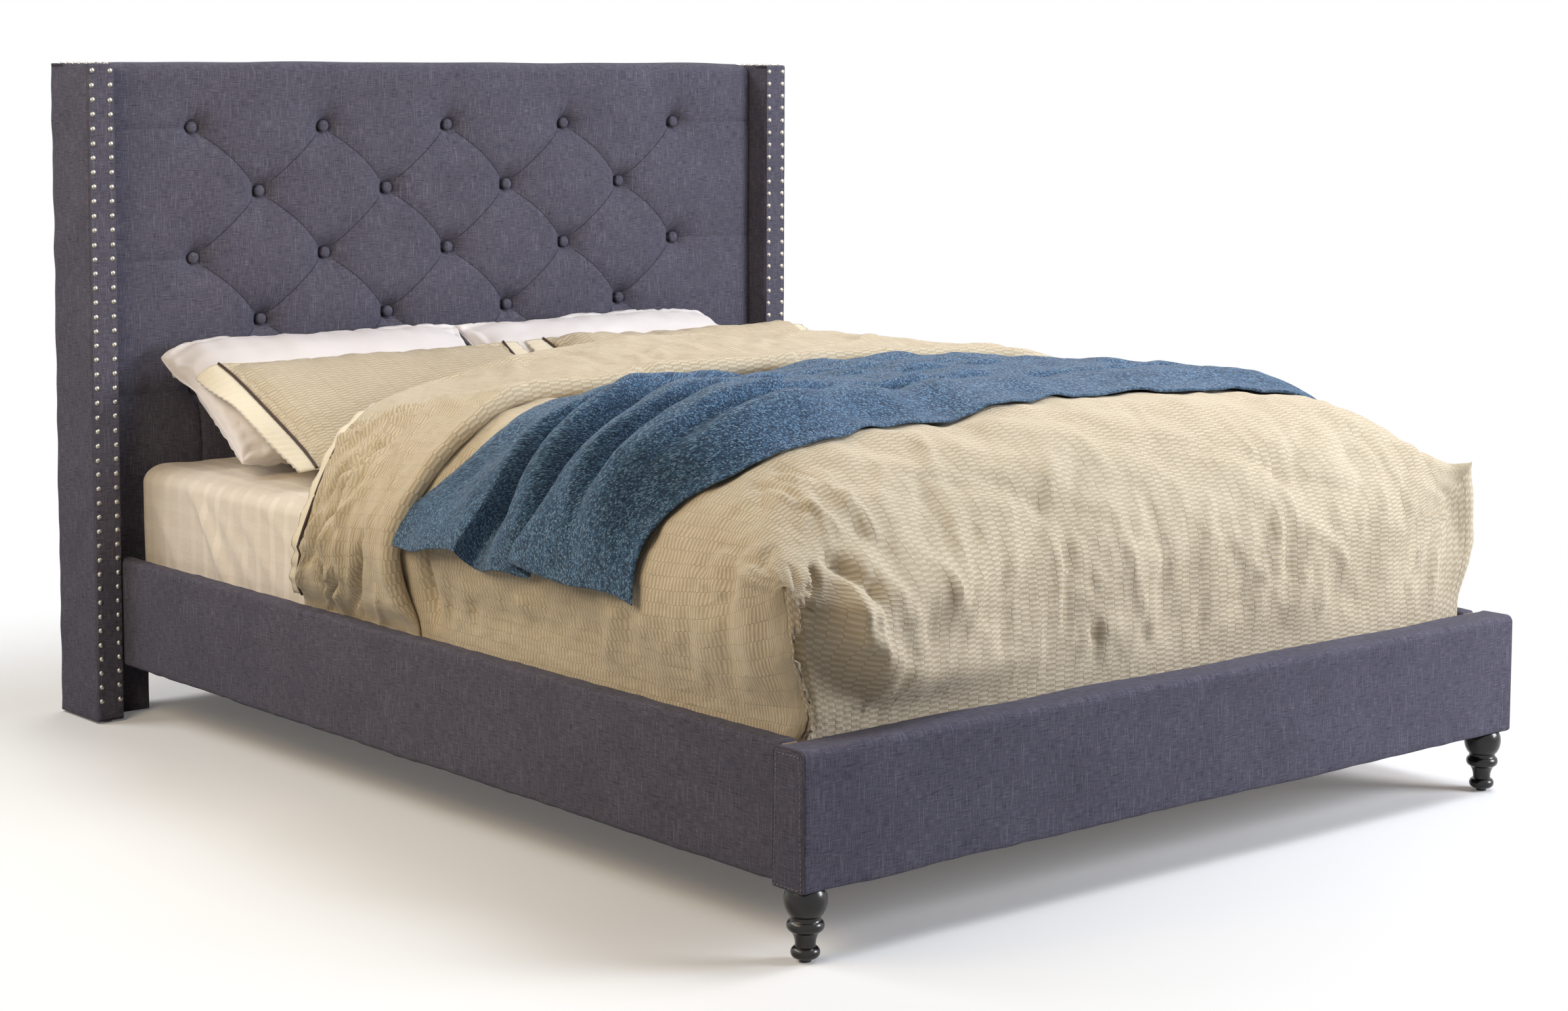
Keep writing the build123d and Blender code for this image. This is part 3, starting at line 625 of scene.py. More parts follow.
class Finish:
    """A finish that makes its material once and then hands out the same one."""

    name: str
    _made: ClassVar[dict[Finish, bpy.types.Material]] = {}

    def material(self) -> bpy.types.Material:
        """The material of this finish."""
        if self not in Finish._made:
            Finish._made[self] = self.build(Board(bpy.data.materials.new(self.name)))
        return Finish._made[self]

    def build(self, board: Board) -> bpy.types.Material:
        """Builds the node tree."""
        raise NotImplementedError

    def on(self, piece: bpy.types.Object) -> None:
        """Puts this finish alone on a piece."""
        piece.data.materials.clear()
        piece.data.materials.append(self.material())


@dataclass(frozen=True)
class LinenWeave(Finish):
    """Slate linen-look upholstery: a fine plain weave crossed by light and dark slubs both ways, with painted shade
    along sewn pleats.
    """

    name: str = "slate_linen"
    ground: Colour = (0.097, 0.092, 0.126)
    light: Colour = (0.232, 0.226, 0.284)
    dark: Colour = (0.022, 0.021, 0.031)
    warm: Colour = (0.125, 0.098, 0.095)
    # crease: near-black painted shade, laid along the pleat lines that the crease attribute marks.
    crease: Colour = (0.012, 0.012, 0.016)
    thread: float = 0.0013

    def build(self, board: Board) -> bpy.types.Material:
        """Slubs are noise stretched along one thread; the weave is the product of two sines."""
        at = u, v = board.cloth()
        weft, warp = board.grain(at, (50.0, 680.0), 1.0), board.grain(at, (680.0, 50.0), 5.0)
        long_weft, long_warp = board.grain(at, (30.0, 400.0), 9.0, 1.0), board.grain(at, (360.0, 17.0), 13.0, 1.0)
        cloud = board.grain(at, (9.0, 9.0), 3.0, 3.0)
        turn = TURN / self.thread
        weave = (u * turn).sine() * (v * turn).sine()
        tone = (weft - 0.5) * 1.35 + (warp - 0.5) * 1.35 + weave * 0.10 + (cloud - 0.5) * 0.35
        # Painted shade: the crease attribute darkens the colour towards near-black along sewn pleat lines.
        crease = Signal(board, board.add("ShaderNodeAttribute", {"attribute_name": "crease"}).outputs["Fac"])
        colour = board.coats(self.ground, (tone.eased(0.02, 0.62) * 0.85, self.light),
                             (tone.eased(-0.02, -0.62) * 0.9, self.dark),
                             (long_weft.eased(0.60, 0.74) * 0.5, self.dark),
                             (long_warp.eased(0.58, 0.74) * 0.36, self.light),
                             (warp.eased(0.52, 0.7) * 0.35, self.warm), ((crease**3.0) * 0.9, self.crease))
        height = weave * 0.25 + weft * 0.8 + warp * 0.8
        return board.finish({
            "Base Color": colour, "Roughness": (weft * 0.12 + 0.82), "Specular IOR Level": 0.08,
            "Sheen Weight": 0.05, "Sheen Roughness": 0.5, "Sheen Tint": (0.8, 0.8, 0.9, 1.0),
            "Normal": board.bump(height, 0.0007, 0.7)})


@dataclass(frozen=True)
class CheckWeave(Finish):
    """Sand-coloured seersucker check: short cross-bed dashes in columns, each column half a step off the last."""

    name: str = "sand_seersucker"
    light: Colour = (0.66, 0.58, 0.44)
    dark: Colour = (0.46, 0.375, 0.255)
    knot: Colour = (0.27, 0.215, 0.145)
    column: float = 0.0210
    dash: float = 0.0083

    def build(self, board: Board) -> bpy.types.Material:
        """Columns across u, stripes along v shifted by half a period in every other column."""
        at = u, v = board.cloth()
        wander = board.grain(at, (18.0, 18.0), 2.0, 3.0)
        column = (u + (wander - 0.5) * 0.006) / self.column
        odd = (column * 0.5).part().eased(0.49, 0.51)
        phase = (v + (wander - 0.5) * 0.004) / self.dash + odd * 0.5
        stripe = ((phase * TURN).sine() * 0.5 + 0.5).eased(0.25, 0.75)
        edge = column.away().eased(0.455, 0.49)
        fine, cloud = board.grain(at, (900.0, 900.0), 0.0, 1.0), board.grain(at, (5.0, 5.0), 7.0, 3.0)
        patchy = board.grain(at, (60.0, 60.0), 4.0)
        share = stripe * (patchy.eased(0.2, 0.7) * 0.5 + 0.5)
        colour = board.coats(self.dark, (share, self.light), ((fine - 0.5) * 0.35 + 0.15, self.dark),
                             (edge * (1.0 - stripe) * 0.6, self.knot), (cloud.eased(0.35, 0.7) * 0.25, self.light))
        height = stripe * 0.8 + fine * 0.15 - edge * 0.4
        crumple = board.grain(at, (26.0, 26.0), 11.0, 4.0, 0.6)
        ridge = 1.0 - (board.grain(at, (20.0, 11.0), 17.0, 3.0, 0.55) - 0.5).size() * 2.6
        normal = board.bump(crumple * 0.6 + ridge * 0.5, 0.009, 0.5)
        return board.finish({
            "Base Color": colour, "Roughness": 0.78, "Specular IOR Level": 0.3, "Sheen Weight": 0.12,
            "Sheen Roughness": 0.45, "Normal": board.bump(height, 0.0009, 0.7, normal)})


@dataclass(frozen=True)
class NubbyKnit(Finish):
    """Blue nubby knit: small light and dark loops over a mid blue."""

    name: str = "blue_knit"
    ground: Colour = (0.060, 0.143, 0.268)
    light: Colour = (0.25, 0.41, 0.58)
    dark: Colour = (0.014, 0.028, 0.062)
    nub: float = 0.0026

    def build(self, board: Board) -> bpy.types.Material:
        """Loops are Voronoi cells drawn along the rows of knitting, each with a random tone."""
        at = u, v = board.cloth()
        wander = board.grain(at, (90.0, 90.0), 1.0)
        spot = board.join(u / (self.nub * 1.3) + wander * 1.2, v / self.nub + wander * 1.2)
        loop = Signal(board, board.cells(spot, 1.0))
        tone = board.parts(board.cells(spot, 1.0, "Color"))[0]
        thread, rows = board.grain(at, (700.0, 700.0), 2.0), board.grain(at, (10.0, 120.0), 6.0)
        colour = board.coats(self.ground, (tone.eased(0.45, 0.95) * 0.7, self.light),
                             (tone.eased(0.42, 0.08) * 0.75, self.dark), (loop.eased(0.35, 0.75) * 0.8, self.dark),
                             ((thread - 0.4) * 0.4, self.light), (rows.eased(0.5, 0.75) * 0.15, self.light))
        height = 1.0 - loop * 1.1 + tone * 0.4 + thread * 0.2
        return board.finish({
            "Base Color": colour, "Roughness": 0.88, "Specular IOR Level": 0.2, "Sheen Weight": 0.2,
            "Sheen Roughness": 0.4, "Normal": board.bump(height, 0.0022, 0.9)})


@dataclass(frozen=True)
class PlainCotton(Finish):
    """Plain cotton: a fine weave, faint threads and soft crumple."""

    name: str
    colour: Colour
    shade: Colour
    crumple: float = 0.004
    bands: bool = False

    def build(self, board: Board) -> bpy.types.Material:
        """Optional tone-on-tone check: wide bands one way and groups of thin lines the other."""
        at = u, v = board.cloth()
        warp, weft = board.grain(at, (1400.0, 60.0), 0.0, 1.0), board.grain(at, (60.0, 1400.0), 4.0, 1.0)
        cloud, rough = board.grain(at, (7.0, 7.0), 2.0, 3.0), board.grain(at, (26.0, 26.0), 8.0, 5.0, 0.6)
        share = (warp - 0.5) * 0.5 + (weft - 0.5) * 0.5 + cloud * 0.5
        colour = board.blend(share, self.colour, self.shade)
        height = warp * 0.5 + weft * 0.5
        if self.bands:
            wide = (v / 0.048).away().eased(0.34, 0.30)
            lines = ((u / 0.0042).away().eased(0.34, 0.22) * 0.4 + 0.6) * (u / 0.050).away().eased(0.19, 0.16)
            faint = board.grain(at, (12.0, 4.0), 21.0).eased(0.3, 0.6) * 0.45 + 0.2
            colour = board.coats(colour, (wide * 0.22, self.shade), (lines * faint, toned(self.colour, 1.12)))
            height = height + lines * 0.8 - wide * 0.3
        normal = board.bump(rough, self.crumple, 0.4)
        return board.finish({
            "Base Color": colour, "Roughness": 0.82, "Specular IOR Level": 0.25, "Sheen Weight": 0.1,
            "Normal": board.bump(height, 0.0004, 0.5, normal)})


@dataclass(frozen=True)
class Timber(Finish):
    """Sawn softwood or ply: growth rings stretched along the grain, and pores."""

    name: str
    early: Colour = (0.62, 0.43, 0.25)
    late: Colour = (0.42, 0.25, 0.12)
    grain: int = 0
    ring: float = 0.011

    def build(self, board: Board) -> bpy.types.Material:
        """Rings are bands of distance from a far axis, bent by noise stretched along the grain."""
        parts = list(board.parts(board.place()))
        along = parts.pop(self.grain)
        a, b = parts
        bend = board.noise(board.join(along * 1.6, a * 14.0, b * 14.0), 1.0, 3.0)
        rings = (((a * 0.8 + b + bend * 0.05) / self.ring) * TURN).sine() * 0.5 + 0.5
        pores = board.noise(board.join(along * 40.0, a * 900.0, b * 900.0), 1.0, 2.0)
        cloud = board.noise(board.join(along * 2.0, a * 5.0, b * 5.0), 1.0, 3.0)
        share = rings.eased(0.25, 0.95) * 0.65 + (cloud - 0.5) * 0.5
        colour = board.coats(self.early, (share, self.late), (pores.eased(0.56, 0.75) * 0.5, self.late))
        return board.finish({
            "Base Color": colour, "Roughness": (rings * 0.12 + 0.58), "Specular IOR Level": 0.3,
            "Normal": board.bump(pores * 0.6 + rings * 0.4, 0.0005, 0.6)})


@dataclass(frozen=True)
class Metal(Finish):
    """Plated or painted metal with faint brushing and small marks."""

    name: str
    colour: Colour
    rough: float
    metallic: float = 1.0
    marks: float = 0.35

    def build(self, board: Board) -> bpy.types.Material:
        """Roughness and tone wander with fine noise."""
        at = board.place()
        fine = board.noise(at, 900.0, 2.0)
        broad = board.noise(at, 38.0, 3.0)
        colour = board.blend(broad.eased(0.5, 0.8) * self.marks, self.colour, toned(self.colour, 0.55))
        return board.finish({
            "Base Color": colour, "Metallic": self.metallic, "Roughness": (broad * 0.2 + (self.rough - 0.06)),
            "Normal": board.bump(fine, 0.0001, 0.35)})


@dataclass(frozen=True)
class Lacquer(Finish):
    """Gloss black lacquer over turned wood, with a hint of brown in soft streaks and faint orange peel."""

    name: str = "black_lacquer"

    def build(self, board: Board) -> bpy.types.Material:
        """A near-black ground under a clear coat."""
        at = board.place()
        wave = board.noise(at, 160.0, 2.0)
        streak = board.noise(at, 46.0, 3.0)
        colour = board.blend(streak.eased(0.45, 0.8) * 0.6, (0.006, 0.005, 0.005), (0.02, 0.012, 0.009))
        return board.finish({
            "Base Color": colour, "Roughness": (streak * 0.12 + 0.2), "Specular IOR Level": 0.3, "Coat Weight": 0.3,
            "Coat Roughness": 0.08, "Normal": board.bump(wave, 0.0003, 0.25)})


@dataclass(frozen=True)
class Moulded(Finish):
    """Moulded nylon with a fine matt grain."""

    name: str = "nylon"
    colour: Colour = (0.03, 0.03, 0.032)

    def build(self, board: Board) -> bpy.types.Material:
        """Fine grain in bump and roughness."""
        at = board.place()
        grain = board.noise(at, 1500.0, 2.0)
        broad = board.noise(at, 60.0, 2.0)
        colour = board.blend(broad * 0.5, self.colour, toned(self.colour, 1.9))
        return board.finish({"Base Color": colour, "Roughness": (grain * 0.15 + 0.5),
                             "Normal": board.bump(grain, 0.0002, 0.4)})


@dataclass(frozen=True)
class DustCloth(Finish):
    """Thin black non-woven cloth with pressed dots."""

    name: str = "dust_cloth"

    def build(self, board: Board) -> bpy.types.Material:
        """A grid of small pressed dots over felted fibres."""
        at = u, v = board.cloth()
        dots = ((u * 2200.0).sine() * (v * 2200.0).sine()).eased(0.3, 0.9)
        fibre = board.grain(at, (400.0, 400.0), 0.0, 4.0, 0.7)
        colour = board.blend(fibre * 0.7 + dots * 0.3, (0.012, 0.012, 0.013), (0.045, 0.044, 0.046))
        return board.finish({"Base Color": colour, "Roughness": 0.85,
                             "Normal": board.bump(fibre - dots * 0.6, 0.0005, 0.6)})


@dataclass(frozen=True)
class Ticking(Finish):
    """Quilted mattress ticking: cream knit with pale stripes, stitched in diamonds."""

    name: str = "ticking"

    def build(self, board: Board) -> bpy.types.Material:
        """Stripes along v and stitch lines on two diagonals."""
        at = u, v = board.cloth()
        one, two = ((u + v) / 0.11).away(), ((u - v) / 0.11).away()
        puff = (1.0 - one.eased(0.38, 0.5)) * (1.0 - two.eased(0.38, 0.5))
        stripe = (u / 0.03).away().eased(0.36, 0.4)
        fine = board.grain(at, (900.0, 900.0), 0.0)
        colour = board.blend(stripe * 0.5 + fine * 0.2, (0.78, 0.74, 0.66), (0.55, 0.56, 0.58))
        return board.finish({"Base Color": colour, "Roughness": 0.85,
                             "Normal": board.bump(puff + fine * 0.05, 0.004, 0.6)})


@dataclass(frozen=True)
class Thread(Finish):
    """Sewing thread or piping cord: two strands twisted together."""

    name: str
    colour: Colour

    def build(self, board: Board) -> bpy.types.Material:
        """Slanting bands along the cord."""
        u, v = board.cloth()
        twist = ((v + u * 0.8) * 2600.0).sine() * 0.5 + 0.5
        fuzz = board.noise(board.place(), 700.0, 2.0)
        colour = board.blend(twist * 0.5 + fuzz * 0.3, toned(self.colour, 0.55), self.colour)
        return board.finish({"Base Color": colour, "Roughness": 0.75, "Sheen Weight": 0.1,
                             "Normal": board.bump(twist, 0.0005, 0.6)})


LINEN = LinenWeave()
SEERSUCKER = CheckWeave()
KNIT = NubbyKnit()
SHEETING = PlainCotton("white_sheet", (0.84, 0.77, 0.68), (0.70, 0.62, 0.52), bands=True)
PILLOWCASE = PlainCotton("pillow_cotton", (0.84, 0.80, 0.80), (0.77, 0.725, 0.73), 0.003)
CREAM = PlainCotton("cream_flange", (0.80, 0.72, 0.56), (0.70, 0.61, 0.45), 0.006)
PIPING = Thread("brown_piping", (0.055, 0.022, 0.016))
CREAM_CORD = Thread("cream_piping", (0.86, 0.79, 0.66))
STITCHING = Thread("pale_stitching", (0.40, 0.385, 0.40))
PINE = Timber("pine", grain=0)
PINE_UP = Timber("pine_upright", grain=2)
PINE_LONG = Timber("pine_lengthwise", grain=1)
PLY = Timber("plywood", (0.60, 0.45, 0.29), (0.47, 0.32, 0.18), 0, 0.03)
BEECH = Timber("slat_wood", (0.66, 0.47, 0.29), (0.52, 0.34, 0.19), 0, 0.016)
BLACK_STEEL = Metal("black_steel", (0.03, 0.03, 0.032), 0.45, 0.4)
ZINC = Metal("zinc_steel", (0.6, 0.61, 0.62), 0.34)
NICKEL = Metal("nickel_nail", (0.40, 0.38, 0.345), 0.3, 1.0, 0.6)
NYLON = Moulded()
LACQUER = Lacquer()
BACKING = DustCloth()
TICKING = Ticking()


def settle(piece: bpy.types.Object, finish: Finish, *nodes: str, slot: str | None = None) -> bpy.types.Object:
    """Dresses a piece, has it ride on the bed and stand for CAD nodes, and reports it.

    Args:
        piece: the finished object.
        finish: its material.
        nodes: CAD nodes that it stands for.
        slot: the record's material slot; not used.

    Returns:
        The piece.
    """
    finish.on(piece)
    if SPOT in piece.data.attributes:
        piece.data.attributes.remove(piece.data.attributes[SPOT])
    if nodes:
        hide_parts(*nodes)
    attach(piece, BODY)
    log.info("%s: %d faces", piece.name, len(piece.data.polygons))
    return piece


def relax(piece: bpy.types.Object, frames: int, pressure: float, cap: float, grow: float, hold: Array) -> None:
    """Runs Blender's Cloth on a piece without gravity and keeps the result.

    Args:
        piece: the mesh, which is swollen by pressure and wrinkled by growth.
        frames: steps of the simulation.
        pressure: air pressure inside.
        cap: the furthest that a point may move, in metres.
        grow: share by which the cloth's rest size grows, so that it wrinkles.
        hold: pinning of each point, 0 free or 1 held.
    """
    rest = vertices_of(piece)
    modifier = piece.modifiers.new("cloth", "CLOTH")
    cloth = modifier.settings
    cloth.quality, cloth.mass, cloth.air_damping = 6, 0.3, 2.0
    cloth.tension_stiffness = cloth.compression_stiffness = 15.0
    cloth.shear_stiffness, cloth.bending_stiffness = 9.0, 0.5
    cloth.effector_weights.gravity = 0.0
    cloth.shrink_min = cloth.shrink_max = -grow
    cloth.use_pressure, cloth.uniform_pressure_force = True, pressure
    group = piece.vertex_groups.new(name="hold")
    for level in np.unique(hold):
        group.add(np.flatnonzero(hold == level).tolist(), float(level), "REPLACE")
    cloth.vertex_group_mass, cloth.pin_stiffness = "hold", 1.0
    modifier.collision_settings.use_collision = False
    modifier.point_cache.frame_start, modifier.point_cache.frame_end = 1, frames
    for step in range(1, frames + 1):
        bpy.context.scene.frame_set(step)
    evaluated = piece.evaluated_get(bpy.context.evaluated_depsgraph_get())
    moved = vertices_of(evaluated)
    piece.modifiers.remove(modifier)
    piece.vertex_groups.clear()
    bpy.context.scene.frame_set(1)
    move = moved - rest
    far = np.linalg.norm(move, axis=1, keepdims=True)
    place(piece, rest + move * np.minimum(1.0, cap / np.maximum(far, 1e-9)))


def corded(name: str, path: Array, radius: float, finish: Finish) -> None:
    """Lays a cord or piping along a path as a piece of its own."""
    settle(make_mesh(name, [tube(path, radius, 8)], weld=1e-6), finish)


# The headboard.


@dataclass
class Headboard:
    """The tufted front, its buttons, and the cloth on the lower board, legs and back.

    Attributes:
        half_width: half the width of the pad and of what is under it.
        front: place y of the pad's face; board and back are those of its board and its rear lip.
        bottom: height of the pad's lower edge; lip and top are those of its rear lip and its top.
        soft_edge: radius of its upper front edge; back_edge is that of the rear one.
        spacing: between two buttons of a row; pitch is that between two rows.
        first_row: height of the top row, measured along the pad's face and on over its round top.
        rows: how many rows of buttons there are.
        cells: grid steps from one row to the next.
        tuft: depth at a button; it stays so for tuft_flat and then falls off over tuft_fall.
        pleat: depth of the diagonal pleats.
        bow: how far they bow.
        button: radius of a button.
        line: half width of the painted shade line along a pleat.
        leg: distance of the legs' inner faces from the middle.
    """

    half_width: float = 0.8195
    front: float = 1.011
    board: float = 1.0685
    back: float = 1.117
    bottom: float = 0.330
    lip: float = 1.285
    top: float = 1.295
    soft_edge: float = 0.026
    back_edge: float = 0.006
    spacing: float = 0.3055
    pitch: float = 0.131
    first_row: float = 1.164
    rows: int = 5
    cells: int = 30
    tuft: float = 0.030
    pleat: float = 0.0062
    bow: float = 0.004
    button: float = 0.0115
    line: float = 0.0014
    tuft_flat: float = 0.010
    tuft_fall: float = 0.019
    leg: float = 0.737

    def centres(self) -> Array:
        """(x, z) of every button: five in rows 1, 3 and 5, four in rows 2 and 4."""
        rows = [(5 if row % 2 == 0 else 4, self.first_row - row * self.pitch) for row in range(self.rows)]
        return np.array([((i - (count - 1) / 2) * self.spacing, z) for count, z in rows for i in range(count)])

    def _profile(self) -> tuple[Array, Array, Array]:
        """The pad's section from its lower front edge round to it: points (y, z), outward ways, unrolled heights."""
        step = self.pitch / self.cells
        last_row = self.first_row - (self.rows - 1) * self.pitch
        crest = self.top - self.soft_edge
        count = int((crest - last_row) / step - 1e-6)
        heights = np.concatenate([spaced(self.bottom, last_row, 0.011)[:-1], last_row + step * np.arange(count + 1)])
        turn, small = np.linspace(0, np.pi / 2, 8), np.linspace(0, np.pi / 2, 4)
        flat = spaced(self.front + self.soft_edge, self.back - self.back_edge, 0.008)[1:-1]
        face = stacked(self.front, heights, -1.0, 0.0)
        brow = stacked(self.front + self.soft_edge * (1 - np.cos(turn)), crest + self.soft_edge * np.sin(turn),
                       -np.cos(turn), np.sin(turn))
        ridge = stacked(flat, self.top, 0.0, 1.0)
        nape = stacked(self.back - self.back_edge * (1 - np.sin(small)),
                       self.top - self.back_edge * (1 - np.cos(small)), np.sin(small), np.cos(small))
        rear = np.array([(self.back, self.lip, 1.0, 0.0), (self.board, self.lip, 0.0, 0.0),
                         (self.board, self.bottom, 0.0, 0.0), (self.front, self.bottom, 0.0, 0.0)])
        section = np.concatenate([face, brow, ridge, nape, rear])
        return section[:, :2], section[:, 2:], self.bottom + arc_length(section[:, :2])

    def _across(self) -> Array:
        """Places along x: steps that meet every button, and closer ones at the two ends."""
        step = self.spacing / 2 / self.cells
        count = int(self.half_width / step - 0.5)
        inner = step * np.arange(-count, count + 1)
        tail = self.half_width - np.array([0.0, 0.002])
        return np.concatenate([-tail, inner, tail[::-1]])

    def _depth(self, x: Array, w: Array) -> tuple[Array, Array]:
        """How deep the pad is drawn in, and how near a pleat's line is for painted shade, at places x and unrolled
        heights w.

        A tuft falls off as exp(-(r - 10 mm) / 19 mm) from each button. A pleat falls off as exp(-d / s) from its line,
        where s is 11 mm for the diagonals between buttons, 7 mm for those that run up and down from the outer rows and
        6 mm for the level ones that run out at the sides.
        """
        half, last = self.spacing / 2, self.rows - 1
        reach = np.linalg.norm(stacked(x, w)[..., None, :] - self.centres(), axis=-1).min(axis=-1)
        tufts = self.tuft * np.exp(-np.maximum(reach - self.tuft_flat, 0.0) / self.tuft_fall)
        tufts += 0.006 * bell(reach, 0.085)
        a, b = x / half, (self.first_row - w) / self.pitch
        gap = np.minimum(to_even(a + b), to_even(a - b)) / math.hypot(1 / half, 1 / self.pitch)
        inside = smooth(b, -0.06, 0.0) * smooth(-b, -last - 0.06, -last) * smooth(-np.abs(a), -4.06, -4.0)
        upright = to_even(a) * half + (np.abs(a) >= 4.6)
        above = smooth(-b, -0.02, 0.0) * (1 - 0.5 * smooth(w, self.top - 0.02, self.top + 0.02)) \
            * (1 - smooth(w, self.top + 0.02, self.top + 0.07))
        below = smooth(b, last, last + 0.02)
        level = to_even(b) * self.pitch
        outside = smooth(np.abs(a), 4.0, 4.06) * window(b, -0.3, -0.2, last + 0.2, last + 0.3)
        pleats = self.pleat * np.exp(-gap / 0.011) * inside \
            + np.exp(-upright / 0.007) * np.maximum(0.0022 * above, 0.0045 * below) \
            + 0.0030 * np.exp(-level / 0.006) * outside
        shoulder = 0.009 * np.exp(-(self.half_width - np.abs(x)) / 0.011)
        # How near each pleat line is, faded at the buttons: the linen paints shade there.
        near = np.maximum.reduce([
            bell(gap, self.line) * (inside > 0.99),
            bell(upright, self.line) * np.maximum(0.3 * (above > 0.4), below > 0.4),
            0.6 * bell(level, self.line) * (outside > 0.99)])
        return tufts + pleats + shoulder, near * np.clip(reach / 0.02 - 0.5, 0.0, 1.0)

    def _cut(self, across: Array, unrolled: Array) -> Array:
        """How each quad of the pad is cut, so that edges follow the pleats: 0 not, 1 and 2 along one diagonal."""
        column = np.rint(across / (self.spacing / 2 / self.cells)).astype(int)
        row = np.rint((self.first_row - unrolled) / (self.pitch / self.cells)).astype(int)
        left, right, low, high = column[None, :-1], column[None, 1:], row[1:, None], row[:-1, None]
        last, turn = 4 * self.cells, 2 * self.cells
        inside = (high <= last) & (low >= 0) & (np.abs(left) <= last) & (np.abs(right) <= last)
        return np.where(inside & ((left - low) % turn == 0), 2, np.where(inside & ((left + high) % turn == 0), 1, 0))

    def pad(self) -> bpy.types.Object:
        """The tufted pad: its section carried across the bed, drawn in at the tufts and pleats.

        Between buttons the diagonal pleats bow up and to the right, by bow x sin^2 of the place between two columns.
        """
        profile, ways, unrolled = self._profile()
        across = self._across()
        x, w = np.meshgrid(across, unrolled)
        depth, near = self._depth(x, w)
        half = self.spacing / 2
        b = (self.first_row - w) / self.pitch
        lean = self.bow * np.sin(np.pi * x / half) ** 2 * window(b, -0.1, 0.3, 3.7, 4.1) \
            * (1 - smooth(np.abs(x), 4.0 * half, 4.4 * half)) * (ways[:, 0:1] < -0.99)
        wave = Ripple(0.23, 0.0016, 4).at(stacked(x, w, 0.0))
        out = np.where(np.abs(ways).sum(axis=1)[:, None] > 0.5, wave - depth, 0.0)
        points = stacked(x + lean * 0.65, profile[:, 0:1] + ways[:, 0:1] * out,
                         profile[:, 1:2] + ways[:, 1:2] * out + lean * 0.76)
        # near becomes the crease attribute, where the linen paints shade along the pleat lines.
        patch = Patch(points, stacked(x, w), self._cut(across, unrolled), near)
        forward = points[: len(unrolled) - 3]
        behind = forward.copy()
        behind[..., 1] = np.where(forward[..., 2] > self.lip, self.back, self.board)
        caps = [Patch(np.stack([forward[:, k], behind[:, k]], axis=1),
                      np.stack([forward[:, k, 1:], behind[:, k, 1:]], axis=1)) for k in (0, -1)]
        piece = make_mesh("headboard_tufted_pad", [patch, *caps])
        return settle(piece, LINEN, "headboard_pad", slot="slate_linen")

    def buttons(self) -> bpy.types.Object:
        """Covered buttons: a low dome whose height falls as 1 - (r / R)^2.6, on a short rim."""
        r = self.button * np.array([0.0, 0.35, 0.6, 0.8, 0.92, 0.985, 1.0, 1.0])
        h = np.array([0.0, 0.00035, 0.0010, 0.0021, 0.0033, 0.0046, 0.0060, 0.0090])
        angle = np.linspace(0, TURN, 25)
        seat = self.front + self.tuft - 0.009
        patches = []
        for x, z in self.centres():
            ring = stacked(x + r[:, None] * np.cos(angle), (seat + h)[:, None], z + r[:, None] * np.sin(angle))
            patches.append(Patch(ring, ring[..., [0, 2]]))
        piece = make_mesh("tuft_button_covers", patches, outward=False)
        return settle(piece, LINEN, "tuft_buttons", slot="slate_linen")

    def lower_cover(self) -> bpy.types.Object:
        """Cloth stretched over the lower board, with the softness of the wadding under it."""
        box = RoundedBox((-self.half_width, self.front, 0.109), (self.half_width, self.front + 0.004, 0.3297),
                         (0.0019,) * 3, 0.014, 2)
        piece = make_mesh("headboard_lower_cover", box.patches())
        swell(piece, lambda p, n: Ripple(0.16, 0.0006, 9).at(p) * (n[:, 1] < -0.5))
        return settle(piece, LINEN, "headboard_base_cover", slot="slate_linen")

    def leg_sleeves(self) -> bpy.types.Object:
        """Cloth round the two legs under the headboard, with soft lower corners."""
        boxes = [RoundedBox((low, self.front, 0.004), (high, 1.1167, 0.1087), (0.0035, 0.0035, 0.001), 0.008, 3)
                 for low, high in ((self.leg, self.half_width), (-self.half_width, -self.leg))]
        piece = make_mesh("headboard_leg_cloth", [patch for box in boxes for patch in box.patches()])
        swell(piece, lambda p, n: Ripple(0.05, 0.0007, 12).at(p) * (n[:, 1] < 0.2) * smooth(p[:, 2], 0.006, 0.02))
        return settle(piece, LINEN, "headboard_leg_sleeves", slot="slate_linen")

    def back_cloth(self) -> bpy.types.Object:
        """Dust cloth stapled over the back of the frame, hollowed a little between the bars."""
        x, z = np.meshgrid(spaced(-0.812, 0.812, 0.02), spaced(0.112, 1.281, 0.02))
        hollow = 0.0009 * np.sin(np.pi * (x + 0.812) / 1.624) * np.abs(np.sin(np.pi * (z - 0.112) / 0.555)) ** 0.5
        y = self.back - 0.0004 - hollow + Ripple(0.11, 0.0002, 3).at(stacked(x, z, 0.0))
        piece = make_mesh("headboard_back_dust_cloth", [Patch(stacked(x, y, z), stacked(x, z))], outward=False)
        return settle(piece, BACKING, "headboard_back_cloth", slot="dust_cloth")

    def build(self) -> None:
        """All of the headboard's cloth."""
        self.pad()
        self.buttons()
        self.lower_cover()
        self.leg_sleeves()
        self.back_cloth()


# The wings.


